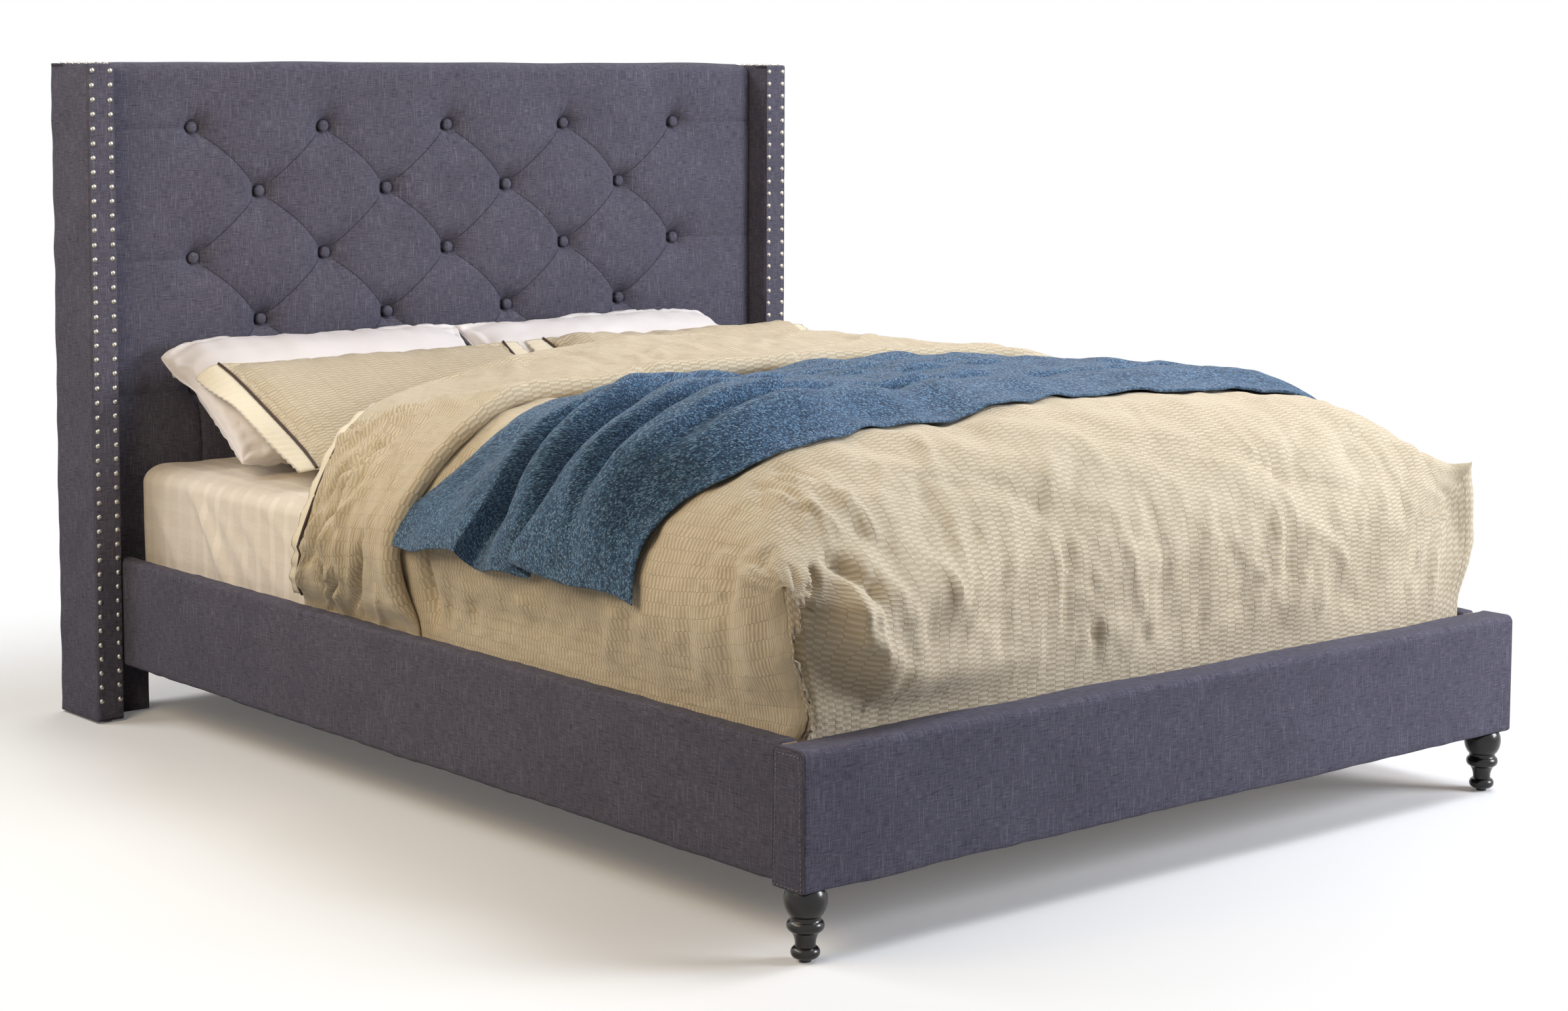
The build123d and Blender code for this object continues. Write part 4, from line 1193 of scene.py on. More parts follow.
@dataclass
class Wing:
    """One wing: a padded cover, a nailed strip down its front and back along its top, and the nailheads.

    Attributes:
        side: left or right.
        inner: distance of its inner face from the bed's middle; outer is that of the other.
        front: place y of its front; back is that of its back.
        foot: height of its lower end; top is that of the strip on its top.
        strip_inset: how far the strip stays in from both faces.
        strip_thick: thickness of the strip; bend is its radius at the top, step its grid spacing.
        nail_radius: of a nailhead; nail_height is how far it stands out.
        nail_pitch: between two nails; nail_inset is their distance from the wing's faces.
    """

    side: Side
    inner: float = 0.820
    outer: float = 0.878
    front: float = 0.957
    back: float = 1.117
    foot: float = 0.005
    top: float = 1.291
    strip_inset: float = 0.0022
    strip_thick: float = 0.0022
    nail_radius: float = 0.0056
    nail_height: float = 0.0033
    nail_pitch: float = 0.028
    nail_inset: float = 0.010
    bend: float = 0.006
    step: float = 0.0045

    def cover(self) -> bpy.types.Object:
        """The padded cover: a soft box whose broad sides swell and whose edges wander a little."""
        low, high = self.side.span(self.inner, self.outer)
        box = RoundedBox((low, self.front + 0.0012, self.foot - 0.001), (high, self.back, self.top - 0.0008),
                         (0.007, 0.007, 0.001), 0.009, 4)
        piece = make_mesh(f"wing_{self.side.word}_upholstery", box.patches())
        wander, fine = Ripple(0.12, 0.0014, 21 + self.side.value), Ripple(0.05, 0.0006, 25 + self.side.value)

        def height(p: Array, n: Array) -> Array:
            """Wandering everywhere, less on the inner face, which lies against the pad."""
            inward = (n[:, 0] * self.side.value < -0.5) & (p[:, 1] > 1.0)
            low_edge = smooth(p[:, 2], self.foot + 0.001, self.foot + 0.02)
            return (wander.at(p) + fine.at(p) - 0.0006) * np.where(inward, 0.15, 1.0) * low_edge

        swell(piece, height)
        return settle(piece, LINEN, f"wing_cover_{self.side.word}", slot="slate_linen")

    def _nail_places(self) -> list[tuple[float, bool]]:
        """Every nail of one column as its place and whether it is on the top: heights z, then places y."""
        count = int((self.top - 0.040) // self.nail_pitch)
        column = [(self.top - 0.014 - i * self.nail_pitch, False) for i in range(count + 1)]
        return column + [(self.front + 0.016 + i * self.nail_pitch, True) for i in range(5)]

    def strip(self) -> bpy.types.Object:
        """The nailed strip: a thin rounded band carried up the front and back along the top, dented at the nails."""
        bend = self.bend
        rise = spaced(self.foot + 0.002, self.top - bend, self.step)
        turn = np.linspace(0, np.pi / 2, 6)[1:-1]
        run = spaced(self.front + bend, self.back - 0.004, self.step)
        y, z, way_y, way_z = np.concatenate([
            stacked(self.front, rise, -1.0, 0.0),
            stacked(self.front + bend * (1 - np.cos(turn)), self.top - bend + bend * np.sin(turn),
                    -np.cos(turn), np.sin(turn)),
            stacked(run, self.top, 0.0, 1.0)]).T[..., None]
        low, high = self.side.span(self.inner + self.strip_inset, self.outer - self.strip_inset)
        rim, fall = np.array([-1, -1, -0.985, -0.95]), np.array([-self.strip_thick, -0.0011, -0.0003, 0.0])
        x = (low + high) / 2 + np.concatenate([rim, np.linspace(-0.88, 0.88, 13), -rim[::-1]]) * (high - low) / 2
        lift = np.concatenate([fall, np.full(13, 0.0003), fall[::-1]])
        columns = np.array(self._nail_columns())
        dent = np.zeros((len(y), len(x)))
        for spot, on_top in self._nail_places():
            along = np.where((z > self.top - 1e-6) == on_top, (y if on_top else z) - spot, 1.0)
            dent += 0.0007 * bell(np.hypot(along[..., None], x[:, None] - columns).min(axis=-1), 0.0085)
        out = lift - dent + Ripple(0.07, 0.0003, 31).at(stacked(x, y, z))
        points = stacked(x, y + way_y * out, z + way_z * out)
        ends = [np.stack([points[k], points[k][:1].repeat(len(x), axis=0)]) for k in (0, -1)]
        piece = make_mesh(f"wing_{self.side.word}_nailed_strip", [lofted(rows) for rows in (points, *ends)])
        return settle(piece, LINEN, slot="slate_linen")

    def _nail_columns(self) -> tuple[float, float]:
        """Places x of the two columns of nails."""
        return self.side.span(self.inner + self.nail_inset, self.outer - self.nail_inset)

    def nailheads(self) -> bpy.types.Object:
        """Domed nailheads: height falls as (1 - (r / R)^2)^0.6 from the middle to the rim, sunk by 0.3 mm."""
        share = np.array([0.0, 0.45, 0.75, 0.93, 1.0])[:, None]
        rise = self.nail_height * (1 - share**2) ** 0.6 - 0.0003
        angle = np.linspace(0, TURN, 13)
        a, b = share * self.nail_radius * np.cos(angle), share * self.nail_radius * np.sin(angle)
        draw = np.random.default_rng(7 + self.side.value)
        patches = []
        for x in self._nail_columns():
            for spot, on_top in self._nail_places():
                shift = draw.normal(0, 0.0004, 2)
                across, along = x + shift[0] + a, spot + shift[1] + b
                ring = stacked(across, along, self.top + rise) if on_top else stacked(across, self.front - rise, along)
                patches.append(Patch(ring if on_top else ring[::-1], ring[..., :2]))
        piece = make_mesh(f"wing_{self.side.word}_domed_nails", patches, outward=False)
        return settle(piece, NICKEL, f"wing_nailheads_{self.side.word}", slot="nickel_nail")

    def build(self) -> None:
        """The whole wing."""
        self.cover()
        self.strip()
        self.nailheads()


# The rails and the footboard.


@dataclass
class SideRail:
    """One side rail's padded sleeve.

    Attributes:
        side: left or right.
        inner: distance of its inner face from the bed's middle; outer is that of the other.
        foot: place y of its foot end; head is that of its head end.
        bottom: height of its lower edge; top is that of its upper one.
    """

    side: Side
    inner: float = 0.782
    outer: float = 0.818
    foot: float = -1.0447
    head: float = 1.0107
    bottom: float = 0.109
    top: float = 0.320

    def build(self) -> bpy.types.Object:
        """A soft box round the rail with slack along its top and bottom edges."""
        low, high = self.side.span(self.inner, self.outer)
        box = RoundedBox((low, self.foot, self.bottom), (high, self.head, self.top), (0.008, 0.004, 0.009), 0.011, 4)
        piece = make_mesh(f"side_rail_{self.side.word}_upholstery", box.patches())
        wander = Ripple(0.21, 0.0011, 41 + self.side.value)
        pucker = Ripple(0.05, 0.0007, 45 + self.side.value, (1.0, 1.0, 0.2))

        def height(p: Array, n: Array) -> Array:
            """Broad wandering, and short puckers near the two long edges."""
            edge = np.exp(-np.minimum(self.top - p[:, 2], p[:, 2] - self.bottom) / 0.02)
            ends = window(p[:, 1], self.foot, self.foot + 0.02, self.head - 0.02, self.head)
            return (wander.at(p) + pucker.at(p) * edge) * ends

        swell(piece, height)
        return settle(piece, LINEN, f"side_rail_cover_{self.side.word}", slot="slate_linen")


@dataclass
class Footboard:
    """The low padded footboard with its end seams and their pale stitching.

    Attributes:
        half: half its length.
        front: place y of its front; back is that of its back.
        bottom: height of its lower edge; top is that of its upper one.
        top_round: radius of its upper edges; low_round and end_round are those below and round the ends.
        stitch: length of a stitch; gap is the space between two.
        step: grid spacing along it.
    """

    half: float = 0.834
    front: float = -1.117
    back: float = -1.045
    bottom: float = 0.109
    top: float = 0.320
    top_round: float = 0.0135
    low_round: float = 0.006
    end_round: float = 0.006
    stitch: float = 0.0048
    gap: float = 0.0036
    step: float = 0.011

    def _section(self, shrink: float, fine: float = 0.008) -> Array:
        """The outline (y, z) drawn in by shrink: lower front corner, up the front, over the top and down the back."""
        corners = [(self.front, self.bottom, self.low_round, 180, 270), (self.front, self.top, self.top_round, 90, 180),
                   (self.back, self.top, self.top_round, 0, 90), (self.back, self.bottom, self.low_round, 270, 360)]
        middle = np.array([(self.front + self.back) / 2, (self.bottom + self.top) / 2])
        pieces = []
        for cy, cz, r, start, stop in corners:
            corner = np.array([cy, cz])
            angle = np.radians(np.linspace(stop, start, 9 if r > 0.01 else 5))
            centre = corner + r * np.sign(middle - corner)
            pieces.append(centre + max(r - shrink, 0.0005) * stacked(np.cos(angle), np.sin(angle)))
        loop = []
        for arc, following in zip(pieces, pieces[1:] + pieces[:1]):
            gap = following[0] - arc[-1]
            loop += [arc, arc[-1] + gap * spaced(0, 1, fine / np.linalg.norm(gap))[1:-1, None]]
        return np.concatenate([*loop, loop[0][:1]])

    def cover(self) -> bpy.types.Object:
        """The section carried along the footboard, drawn in round each end, and closed with flat end panels."""
        turn = np.linspace(0, np.pi / 2, 5)
        drawn, inset = self.end_round * (1 - np.sin(turn)), self.end_round * (1 - np.cos(turn))
        count = len(spaced(0, 2 * self.half, self.step))
        flat = np.linspace(-self.half + self.end_round, self.half - self.end_round, count)[1:-1]
        rows = np.stack([self._section(shrink) for shrink in (*drawn, *np.zeros(len(flat)), *drawn[::-1])])
        x = np.concatenate([-self.half + inset, flat, self.half - inset[::-1]])
        points = stacked(x[:, None], rows[..., 0], rows[..., 1])
        patches = [Patch(points, stacked(points[..., 0], arc_length(points, 1)))]
        for ring in points[[0, -1]]:
            centre = ring[:-1].mean(axis=0)
            panel = centre + (ring - centre) * np.linspace(1, 0, 9)[:, None, None]
            patches.append(Patch(panel, panel[..., 1:]))
        piece = make_mesh("footboard_upholstery", patches)
        wander, pucker = Ripple(0.24, 0.0014, 51), Ripple(0.055, 0.0006, 52, (1.0, 0.3, 0.3))

        def height(p: Array, n: Array) -> Array:
            """Broad wandering on the long faces, short puckers at the ends and along the lower edge."""
            end = self.half - np.abs(p[:, 0])
            near = np.exp(-(p[:, 2] - self.bottom) / 0.02) + np.exp(-end / 0.03)
            return (wander.at(p) - 0.0008 + pucker.at(p) * near) * smooth(end, 0.0, 0.02)

        swell(piece, height)
        return settle(piece, LINEN, "footboard_cover", slot="slate_linen")

    def seams(self) -> None:
        """A thin welt round each end panel and a row of pale stitches just outside it."""
        welts, stitches = [], []
        for end in (-1, 1):
            outline = self._section(0.0022, 0.004)[:-1]
            welts.append(tube(stacked(end * (self.half - 0.0012), *outline.T), 0.0011, 8, closed=True))
            inner = self._section(0.0105, 0.002)[:-1]
            line = stacked(end * (self.half + 0.0002), *inner[inner[:, 1] > self.bottom + 0.004].T)
            length = arc_length(line)
            for start in np.arange(0, length[-1] - self.stitch, self.stitch + self.gap):
                at = start + self.stitch * np.linspace(0, 1, 5)
                spot = stacked(*(np.interp(at, length, places) for places in line.T))
                spot[:, 0] += end * 0.0004 * np.sin(np.linspace(0, np.pi, 5))
                stitches.append(tube(spot, 0.00055, 6))
        settle(make_mesh("footboard_end_welts", welts), LINEN, slot="slate_linen")
        settle(make_mesh("footboard_stitching", stitches, weld=1e-6), STITCHING)

    def build(self) -> None:
        """Cover and seams."""
        self.cover()
        self.seams()


# The mattress and its sheet.


@dataclass
class MattressSet:
    """The mattress and the fitted sheet over it.

    Attributes:
        half: half the mattress's width.
        foot: place y of its foot; head is that of its head.
        bottom: height of its underside; top is that of its top.
        edge: height of its rounded edges; corner is their radius in plan.
        skin: distance of the sheet from it.
    """

    half: float = 0.762
    foot: float = -1.030
    head: float = 1.000
    bottom: float = 0.2235
    top: float = 0.4995
    edge: float = 0.034
    corner: float = 0.045
    skin: float = 0.0017

    def mattress(self) -> bpy.types.Object:
        """A deep soft box with a quilted surface."""
        box = RoundedBox((-self.half, self.foot, self.bottom), (self.half, self.head, self.top),
                         (self.corner, self.corner, self.edge), 0.03, 5)
        piece = make_mesh("mattress_quilted", box.patches())
        swell(piece, lambda p, n: -np.abs(Ripple(0.12, 0.0012, 61).at(p)))
        return settle(piece, TICKING, "mattress", slot="ticking")

    def _drags(self) -> list[Crease]:
        """Pulls and folds in the part of the sheet that shows beside the pillows."""
        x = -self.half - 0.004
        return [
            Crease((x, 0.80, 0.500), (x, 0.61, 0.262), 0.013, 0.0075, (0, -0.012, 0)),
            Crease((x, 0.765, 0.485), (x, 0.56, 0.262), 0.010, -0.0035, (0, -0.012, 0)),
            Crease((x, 0.70, 0.470), (x, 0.50, 0.262), 0.010, 0.004, (0, -0.008, 0)),
            Crease((x, 0.62, 0.470), (x, 0.44, 0.300), 0.011, 0.0035, (0, -0.010, 0)),
            Crease((x, 0.93, 0.440), (x, 0.80, 0.262), 0.013, 0.003, (0, -0.010, 0)),
            Crease((x, 0.52, 0.485), (x, 0.36, 0.36), 0.010, 0.0035, (0, 0, 0.01)),
            Crease((-0.70, 0.60, 0.502), (-0.55, 0.40, 0.502), 0.012, 0.003, (0.02, 0, 0)),
            Crease((-0.75, 0.45, 0.500), (-0.62, 0.30, 0.502), 0.012, 0.004, (0.02, 0, 0)),
            Crease((-0.76, 0.80, 0.497), (-0.50, 0.72, 0.502), 0.016, 0.0025),
        ]

    def sheet(self) -> bpy.types.Object:
        """The sheet's skin over top and sides, tucked away at its lower edge, with drag folds where it shows."""
        s = self.skin
        box = RoundedBox((-self.half - s, self.foot - s, self.bottom - s), (self.half + s, self.head + s, self.top + s),
                         (self.corner + s, self.corner + s, self.edge + s), 0.0125, 6)
        piece = make_mesh("fitted_sheet_cotton", box.patches(skip=[(2, -1)]))
        sheet = bmesh.new()
        sheet.from_mesh(piece.data)
        low = [v for v in sheet.verts if v.co.z < self.bottom + self.edge * 0.45]
        bmesh.ops.delete(sheet, geom=low, context="VERTS")
        sheet.to_mesh(piece.data)
        sheet.free()
        drags, soft = self._drags(), Ripple(0.09, 0.0011, 63, (1.0, 1.0, 0.5))
        right = [Crease((-c.start[0], c.start[1] - 0.05, c.start[2]), (-c.end[0], c.end[1] - 0.03, c.end[2]),
                        c.width, c.height * 0.8, (-c.bow[0], c.bow[1], c.bow[2])) for c in drags]

        def height(p: Array, n: Array) -> Array:
            """Folds at the head end only, always outwards of the mattress."""
            shows = smooth(p[:, 1], 0.22, 0.34)
            folds = sum(crease.at(p) for crease in drags + right)
            return np.maximum(folds * 1.6 + soft.at(p) * 1.6 + 0.0020, 0.0) * shows

        swell(piece, height)
        solid = piece.modifiers.new("thickness", "SOLIDIFY")
        solid.thickness, solid.offset = 0.0006, -1.0
        return settle(piece, SHEETING, "fitted_sheet", slot="white_cotton")

    def build(self) -> None:
        """Mattress and sheet."""
        self.mattress()
        self.sheet()


# The comforter and the throw.


@dataclass
class Comforter:
    """The thick comforter: a draped shell, the band that is folded back at the head, and the band's trimmed edge.

    The shell's own coordinates are p, the running length from the middle towards a side, and y along the bed.

    Attributes:
        half: half its width; hem_half is that at the hem, drawn in beside the rails.
        foot: place y of its foot; head is that of the shell's head end under the band.
        flat_half: half the width of the flat top.
        roll_x: width of the turn at a side; roll_y is its length at the foot, roll_z its height.
        height: of the flat top; crown is how far the middle stands above it, over crown_half to each side.
        hem: height of the hem; rail_top is that of the rails.
        corners: radii in plan of the left and right foot corners.
        ears: how far those corners stand up.
        wall: distance of the closed inside from the middle; underside is its height.
        fold_thick: thickness of the folded-back band.
        dip: how far the left shoulder sinks under the band.
        flange: width of the band's flange.
        step: grid spacing.
        foot_arc: running length of the turn at the foot.
        dense_from: place p beyond which the left side's columns stand closer, a dense_step apart.
    """

    half: float = 0.815
    foot: float = -1.0435
    head: float = 0.440
    flat_half: float = 0.590
    roll_x: float = 0.225
    roll_y: float = 0.280
    roll_z: float = 0.225
    height: float = 0.699
    crown: float = 0.022
    crown_half: float = 0.62
    hem: float = 0.300
    hem_half: float = 0.7795
    rail_top: float = 0.328
    corners: tuple[float, float] = (0.034, 0.022)
    ears: tuple[float, float] = (0.070, 0.118)
    wall: float = 0.7675
    underside: float = 0.5040
    fold_thick: float = 0.028
    dip: float = 0.052
    flange: float = 0.022
    step: float = 0.0105
    foot_arc: float = 0.398
    dense_from: float = 0.66
    dense_step: float = 0.0046

    HEAD_EDGE = ((0.0, 0.458), (0.28, 0.458), (0.43, 0.440), (0.58, 0.375), (0.70, 0.290), (0.78, 0.245), (0.85, 0.236),
                 (0.91, 0.250), (0.97, 0.280), (1.03, 0.318), (1.12, 0.335))
    FOOT_EDGE = ((0.0, -0.068), (0.55, -0.075), (0.70, -0.112), (0.82, -0.092), (0.90, -0.066), (0.96, -0.050),
                 (1.02, -0.040), (1.12, -0.046))

    @property
    def edge_length(self) -> float:
        """Running length from the middle to where the side turns straight down (Ramanujan's ellipse rule)."""
        a, b = self.roll_x, self.roll_z
        return self.flat_half + 0.25 * math.pi * (3 * (a + b) - math.sqrt((3 * a + b) * (a + 3 * b)))

    @property
    def hem_length(self) -> float:
        """Running length from the middle to the hem."""
        return self.edge_length + self.height - self.roll_z - self.hem

    def _round(self, y: Array) -> Array:
        """Cosine of how far the foot has turned down at y: 1 on top, 0 at the foot."""
        share = np.clip((self.foot + self.roll_y - y) / self.roll_y, 0.0, 1.0)
        return np.sqrt(np.maximum(1 - share**2, 0.0))

    def _drawn(self, z: Array) -> Array:
        """How far the side is drawn in at a height, down to the hem inside the rail."""
        turned = self.height - self.roll_z
        return (self.half - self.hem_half) * smooth(turned - z, 0.0, turned - self.rail_top)

    def shell(self, p: Array, y: Array) -> Array:
        """The draped shell at (p, y).

        z = height - roll_z x (1 - cos a x cos b) + crown, with a and b the turns towards the side and the foot, and
        raised at the two foot corners by ear x (1 - s)^2 (1 - t)^2; past the side's turn it drops straight to the hem.
        Under the folded-back band its left shoulder sinks by dip x exp(-((p + 0.6) / 0.36)^2).
        """
        size, sign = np.abs(p), np.sign(p)
        turn = np.clip((size - self.flat_half) / (self.edge_length - self.flat_half), 0.0, 1.0) * np.pi / 2
        x = np.minimum(size, self.flat_half) + self.roll_x * np.sin(turn)
        lift = self.crown * (1 - (x / self.crown_half) ** 2) * self._round(y) ** 0.7
        ear = np.where(sign < 0, self.ears[0], self.ears[1])
        near_side = np.clip(1 - (self.half - x) / 0.26, 0.0, 1.0) ** 2
        near_foot = np.clip(1 - (y - self.foot) / 0.34, 0.0, 1.0) ** 2
        edge = self.height - self.roll_z * (1 - np.cos(turn) * self._round(y)) + lift + ear * near_side * near_foot \
            - self.dip * bell(p + 0.60, 0.36) * smooth(y, -0.06, 0.28)
        share = np.maximum(size - self.edge_length, 0.0) / (self.hem_length - self.edge_length)
        z = edge + (self.hem - edge) * share
        x = x - self._drawn(z) * (x / self.half) ** 8 * (share > 0)
        return stacked(sign * x, y, z)

    def out(self, p: Array, y: Array) -> Array:
        """Unit ways off the shell, from its two slopes."""
        d = 1e-3
        across = self.shell(p + d, y) - self.shell(p - d, y)
        along = self.shell(p, y + d) - self.shell(p, y - d)
        way = np.cross(across, along)
        return way / np.maximum(np.linalg.norm(way, axis=-1, keepdims=True), 1e-12)

    def edge(self, line: Sequence[tuple[float, float]], p: Array) -> Array:
        """An edge's place y at p, the same on both sides, softened by a 6 cm moving mean."""
        x, y = np.array(line).T
        offsets = np.linspace(-0.03, 0.03, 7)
        return np.interp(np.abs(p[..., None] + offsets), x, y).mean(axis=-1)

    def _rounded_plan(self, points: Array) -> Array:
        """Rounds the two foot corners in plan: a square of side corner maps to a quarter disc."""
        corner = np.where(points[..., 0] < 0, self.corners[0], self.corners[1])
        a = np.clip((np.abs(points[..., 0]) - (self.half - corner)) / corner, 0.0, 1.0)
        b = np.clip((self.foot + corner - points[..., 1]) / corner, 0.0, 1.0)
        x = np.abs(points[..., 0]) - corner * a * (1 - np.sqrt(1 - b**2 / 2))
        y = points[..., 1] + corner * b * (1 - np.sqrt(1 - a**2 / 2))
        return stacked(np.sign(points[..., 0]) * x, y, points[..., 2])

    def _drop(self, edge: Array, rows: int) -> Array:
        """Straight drops from an edge down to the hem, drawn in beside the rails."""
        share = np.linspace(0, 1, rows)[:, None]
        drop = np.repeat(edge[None], rows, axis=0)
        drop[..., 2] += (self.hem - edge[None, :, 2]) * share
        size = np.abs(drop[..., 0])
        drawn = self._drawn(drop[..., 2]) * (size / self.half) ** 8 * (share > 0)
        drop[..., 0] = np.sign(drop[..., 0]) * (size - drawn)
        return drop

    def _body_patches(self) -> list[Patch]:
        """Top and drops of the shell, and the closed inside that lies on the bed."""
        half_p = spaced(0, self.edge_length, self.step)
        near_corner = np.concatenate([spaced(0, self.dense_from, self.step)[:-1],
                                      spaced(self.dense_from, self.edge_length, self.dense_step)])
        p = np.concatenate([-near_corner[::-1], half_p[1:]])
        turn = np.linspace(np.pi / 2, 0, 38)
        top_rows = spaced(self.foot + self.roll_y, self.head, self.step)[1:]
        rows = np.concatenate([self.foot + self.roll_y * (1 - np.sin(turn)), top_rows])
        reach = np.concatenate([self.foot + self.roll_y - turn / (np.pi / 2) * self.foot_arc, top_rows])
        grid_p, grid_y = np.meshgrid(p, rows)
        start = -0.15
        ends = self.edge(self.HEAD_EDGE, p)[None] - (self.HEAD_EDGE[0][1] - self.head)
        late = np.clip((grid_y - start) / (self.head - start), 0.0, 1.0)
        grid_y = np.where(late > 0, start + (ends - start) * late, grid_y)
        top = self._rounded_plan(self.shell(grid_p, grid_y))
        patches = [Patch(top, stacked(*np.meshgrid(p, reach)))]
        count = 17
        drops = np.linspace(0, self.hem_length - self.edge_length, count)
        back = self.foot + 0.009

        def inner(line: Array, x: Array) -> None:
            """Closes from a hem line across to the inside and up to the underside."""
            low = line.copy()
            low[:, 0], low[:, 1] = x, np.maximum(line[:, 1], back)
            high = low.copy()
            high[:, 2] = self.underside
            patches.extend([lofted(np.stack([line, low])), lofted(np.stack([low, high]))])

        for k, sign in ((0, -1), (-1, 1)):
            side = self._drop(top[:, k], count)
            patches.append(Patch(side, stacked(sign * (self.edge_length + drops[:, None]), reach)))
            inner(side[-1], np.full(side.shape[1], sign * self.wall))
            end = side[:, -1]
            inside = end.copy()
            inside[:, 0], inside[:, 2] = sign * self.wall, np.linspace(self.underside, self.hem, count)
            patches.append(lofted(np.stack([end, inside])))
        face = self._drop(top[0], count)
        patches.append(Patch(face, stacked(p, reach[0] - drops[:, None])))
        inner(face[-1], np.clip(face[-1][:, 0], -self.wall, self.wall))
        under = top.copy()
        under[..., 0] = np.clip(under[..., 0], -self.wall, self.wall)
        under[:, 0, 0], under[:, -1, 0] = -self.wall, self.wall
        under[..., 1], under[..., 2] = np.maximum(under[..., 1], back), self.underside
        patches += [lofted(under), lofted(np.stack([top[-1], under[-1]]))]
        return patches

    SOFT = (Ripple(0.42, 0.0070, 71), Ripple(0.15, 0.0045, 72))
    TACKS = ((-0.235, -1.000, 0.606), (0.330, -0.996, 0.610))
    PLEAT = ((0.30, -0.766), (0.35, -0.768), (0.38, -0.776), (0.40, -0.783), (0.42, -0.790), (0.44, -0.796),
             (0.46, -0.800), (0.50, -0.793), (0.535, -0.772), (0.57, -0.745), (0.62, -0.725))

    # Small folds round the pleat at the left foot corner, and the ear at the right one.
    CORNER = (
        Crease((-0.800, -0.965, 0.560), (-0.812, -0.985, 0.360), 0.026, 0.012),
        Crease((-0.812, -0.93, 0.600), (-0.800, -0.905, 0.340), 0.018, -0.012),
        Crease((-0.815, -0.84, 0.560), (-0.800, -0.80, 0.340), 0.018, -0.008),
        Crease((-0.742, -1.000, 0.610), (-0.660, -0.925, 0.672), 0.011, -0.026, (0, 0.006, 0)),
        Crease((-0.735, -1.010, 0.600), (-0.640, -0.985, 0.632), 0.011, 0.012),
        Crease((-0.720, -1.020, 0.575), (-0.655, -1.040, 0.480), 0.013, -0.026, (0.012, 0, 0.006)),
        Crease((-0.675, -1.015, 0.590), (-0.600, -1.040, 0.470), 0.018, 0.012, (0.010, 0, 0.004)),
        Crease((-0.640, -1.020, 0.570), (-0.560, -1.040, 0.430), 0.012, -0.009, (0.012, 0, 0)),
        Crease((-0.700, -1.042, 0.470), (-0.590, -1.043, 0.400), 0.014, 0.010, (0, 0, -0.008)),
        Crease((-0.775, -1.042, 0.338), (-0.600, -1.043, 0.372), 0.010, 0.014),
        Crease((-0.780, -0.970, 0.615), (-0.810, -0.900, 0.560), 0.012, -0.010),
        Crease((-0.765, -0.950, 0.632), (-0.800, -0.860, 0.600), 0.013, -0.010),
        Crease((-0.745, -0.930, 0.648), (-0.770, -0.820, 0.640), 0.013, -0.008),
        Crease((0.56, -0.90, 0.680), (0.775, -1.025, 0.600), 0.022, 0.008),
        Crease((0.60, -0.99, 0.600), (0.785, -1.035, 0.560), 0.016, -0.006),
        Crease((0.790, -1.040, 0.560), (0.800, -1.040, 0.360), 0.024, 0.008),
    )

    def _pleat(self, points: Array) -> Array:
        """How far each point goes towards the foot: a flap ends in a step along the pleat line, then a lobe swells.

        With u the distance to the right of the line: 20 mm x exp(u / 2 cm) left of it, a slot 5 cm deep and 2 cm wide
        right of it, and then 58 mm x an eased rise from 2.5 to 10 cm that dies away by 55 cm.
        """
        levels, places = np.array(self.PLEAT).T
        z = points[:, 2]
        u = points[:, 0] - np.interp(z, levels, places) - 0.0030 * np.sin(z * TURN / 0.052)
        flap = 0.020 * np.exp(np.minimum(u, 0.0) / 0.02) * (1 - smooth(u, 0.0, 0.004))
        slot = (0.006 + 0.044 * smooth(z, 0.36, 0.44)) * window(u, 0.0, 0.004, 0.012, 0.028)
        shift = 0.055 * (1 - smooth(z, 0.38, 0.50))
        lobe = 0.058 * smooth(u - shift, 0.025, 0.10) * (1 - smooth(u, 0.16, 0.55))
        tall, low = window(z, 0.330, 0.40, 0.50, 0.60), window(z, 0.312, 0.335, 0.53, 0.57)
        return ((flap - slot) * low + lobe * tall) * smooth(-points[:, 1], 0.975, 1.02)

    def _tack_creases(self) -> list[Crease]:
        """Drags that run out of the two tacks at the foot."""
        fans = ((-0.26, 0.085, 0.065), (-0.13, 0.075, 0.060), (0.16, 0.060, 0.045), (0.25, 0.020, 0.010),
                (-0.11, -0.040, -0.14), (0.02, -0.042, -0.19), (0.13, -0.040, -0.15), (0.22, -0.030, -0.09))
        return [Crease(spot, tuple(a + b for a, b in zip(spot, fan)), 0.013, -0.0065, (0.0, 0.0, 0.008))
                for spot in self.TACKS for fan in fans]

    def softness(self, points: Array) -> Array:
        """The shell's broad puffs, which the throw follows too."""
        return sum(wave.at(points) for wave in self.SOFT)

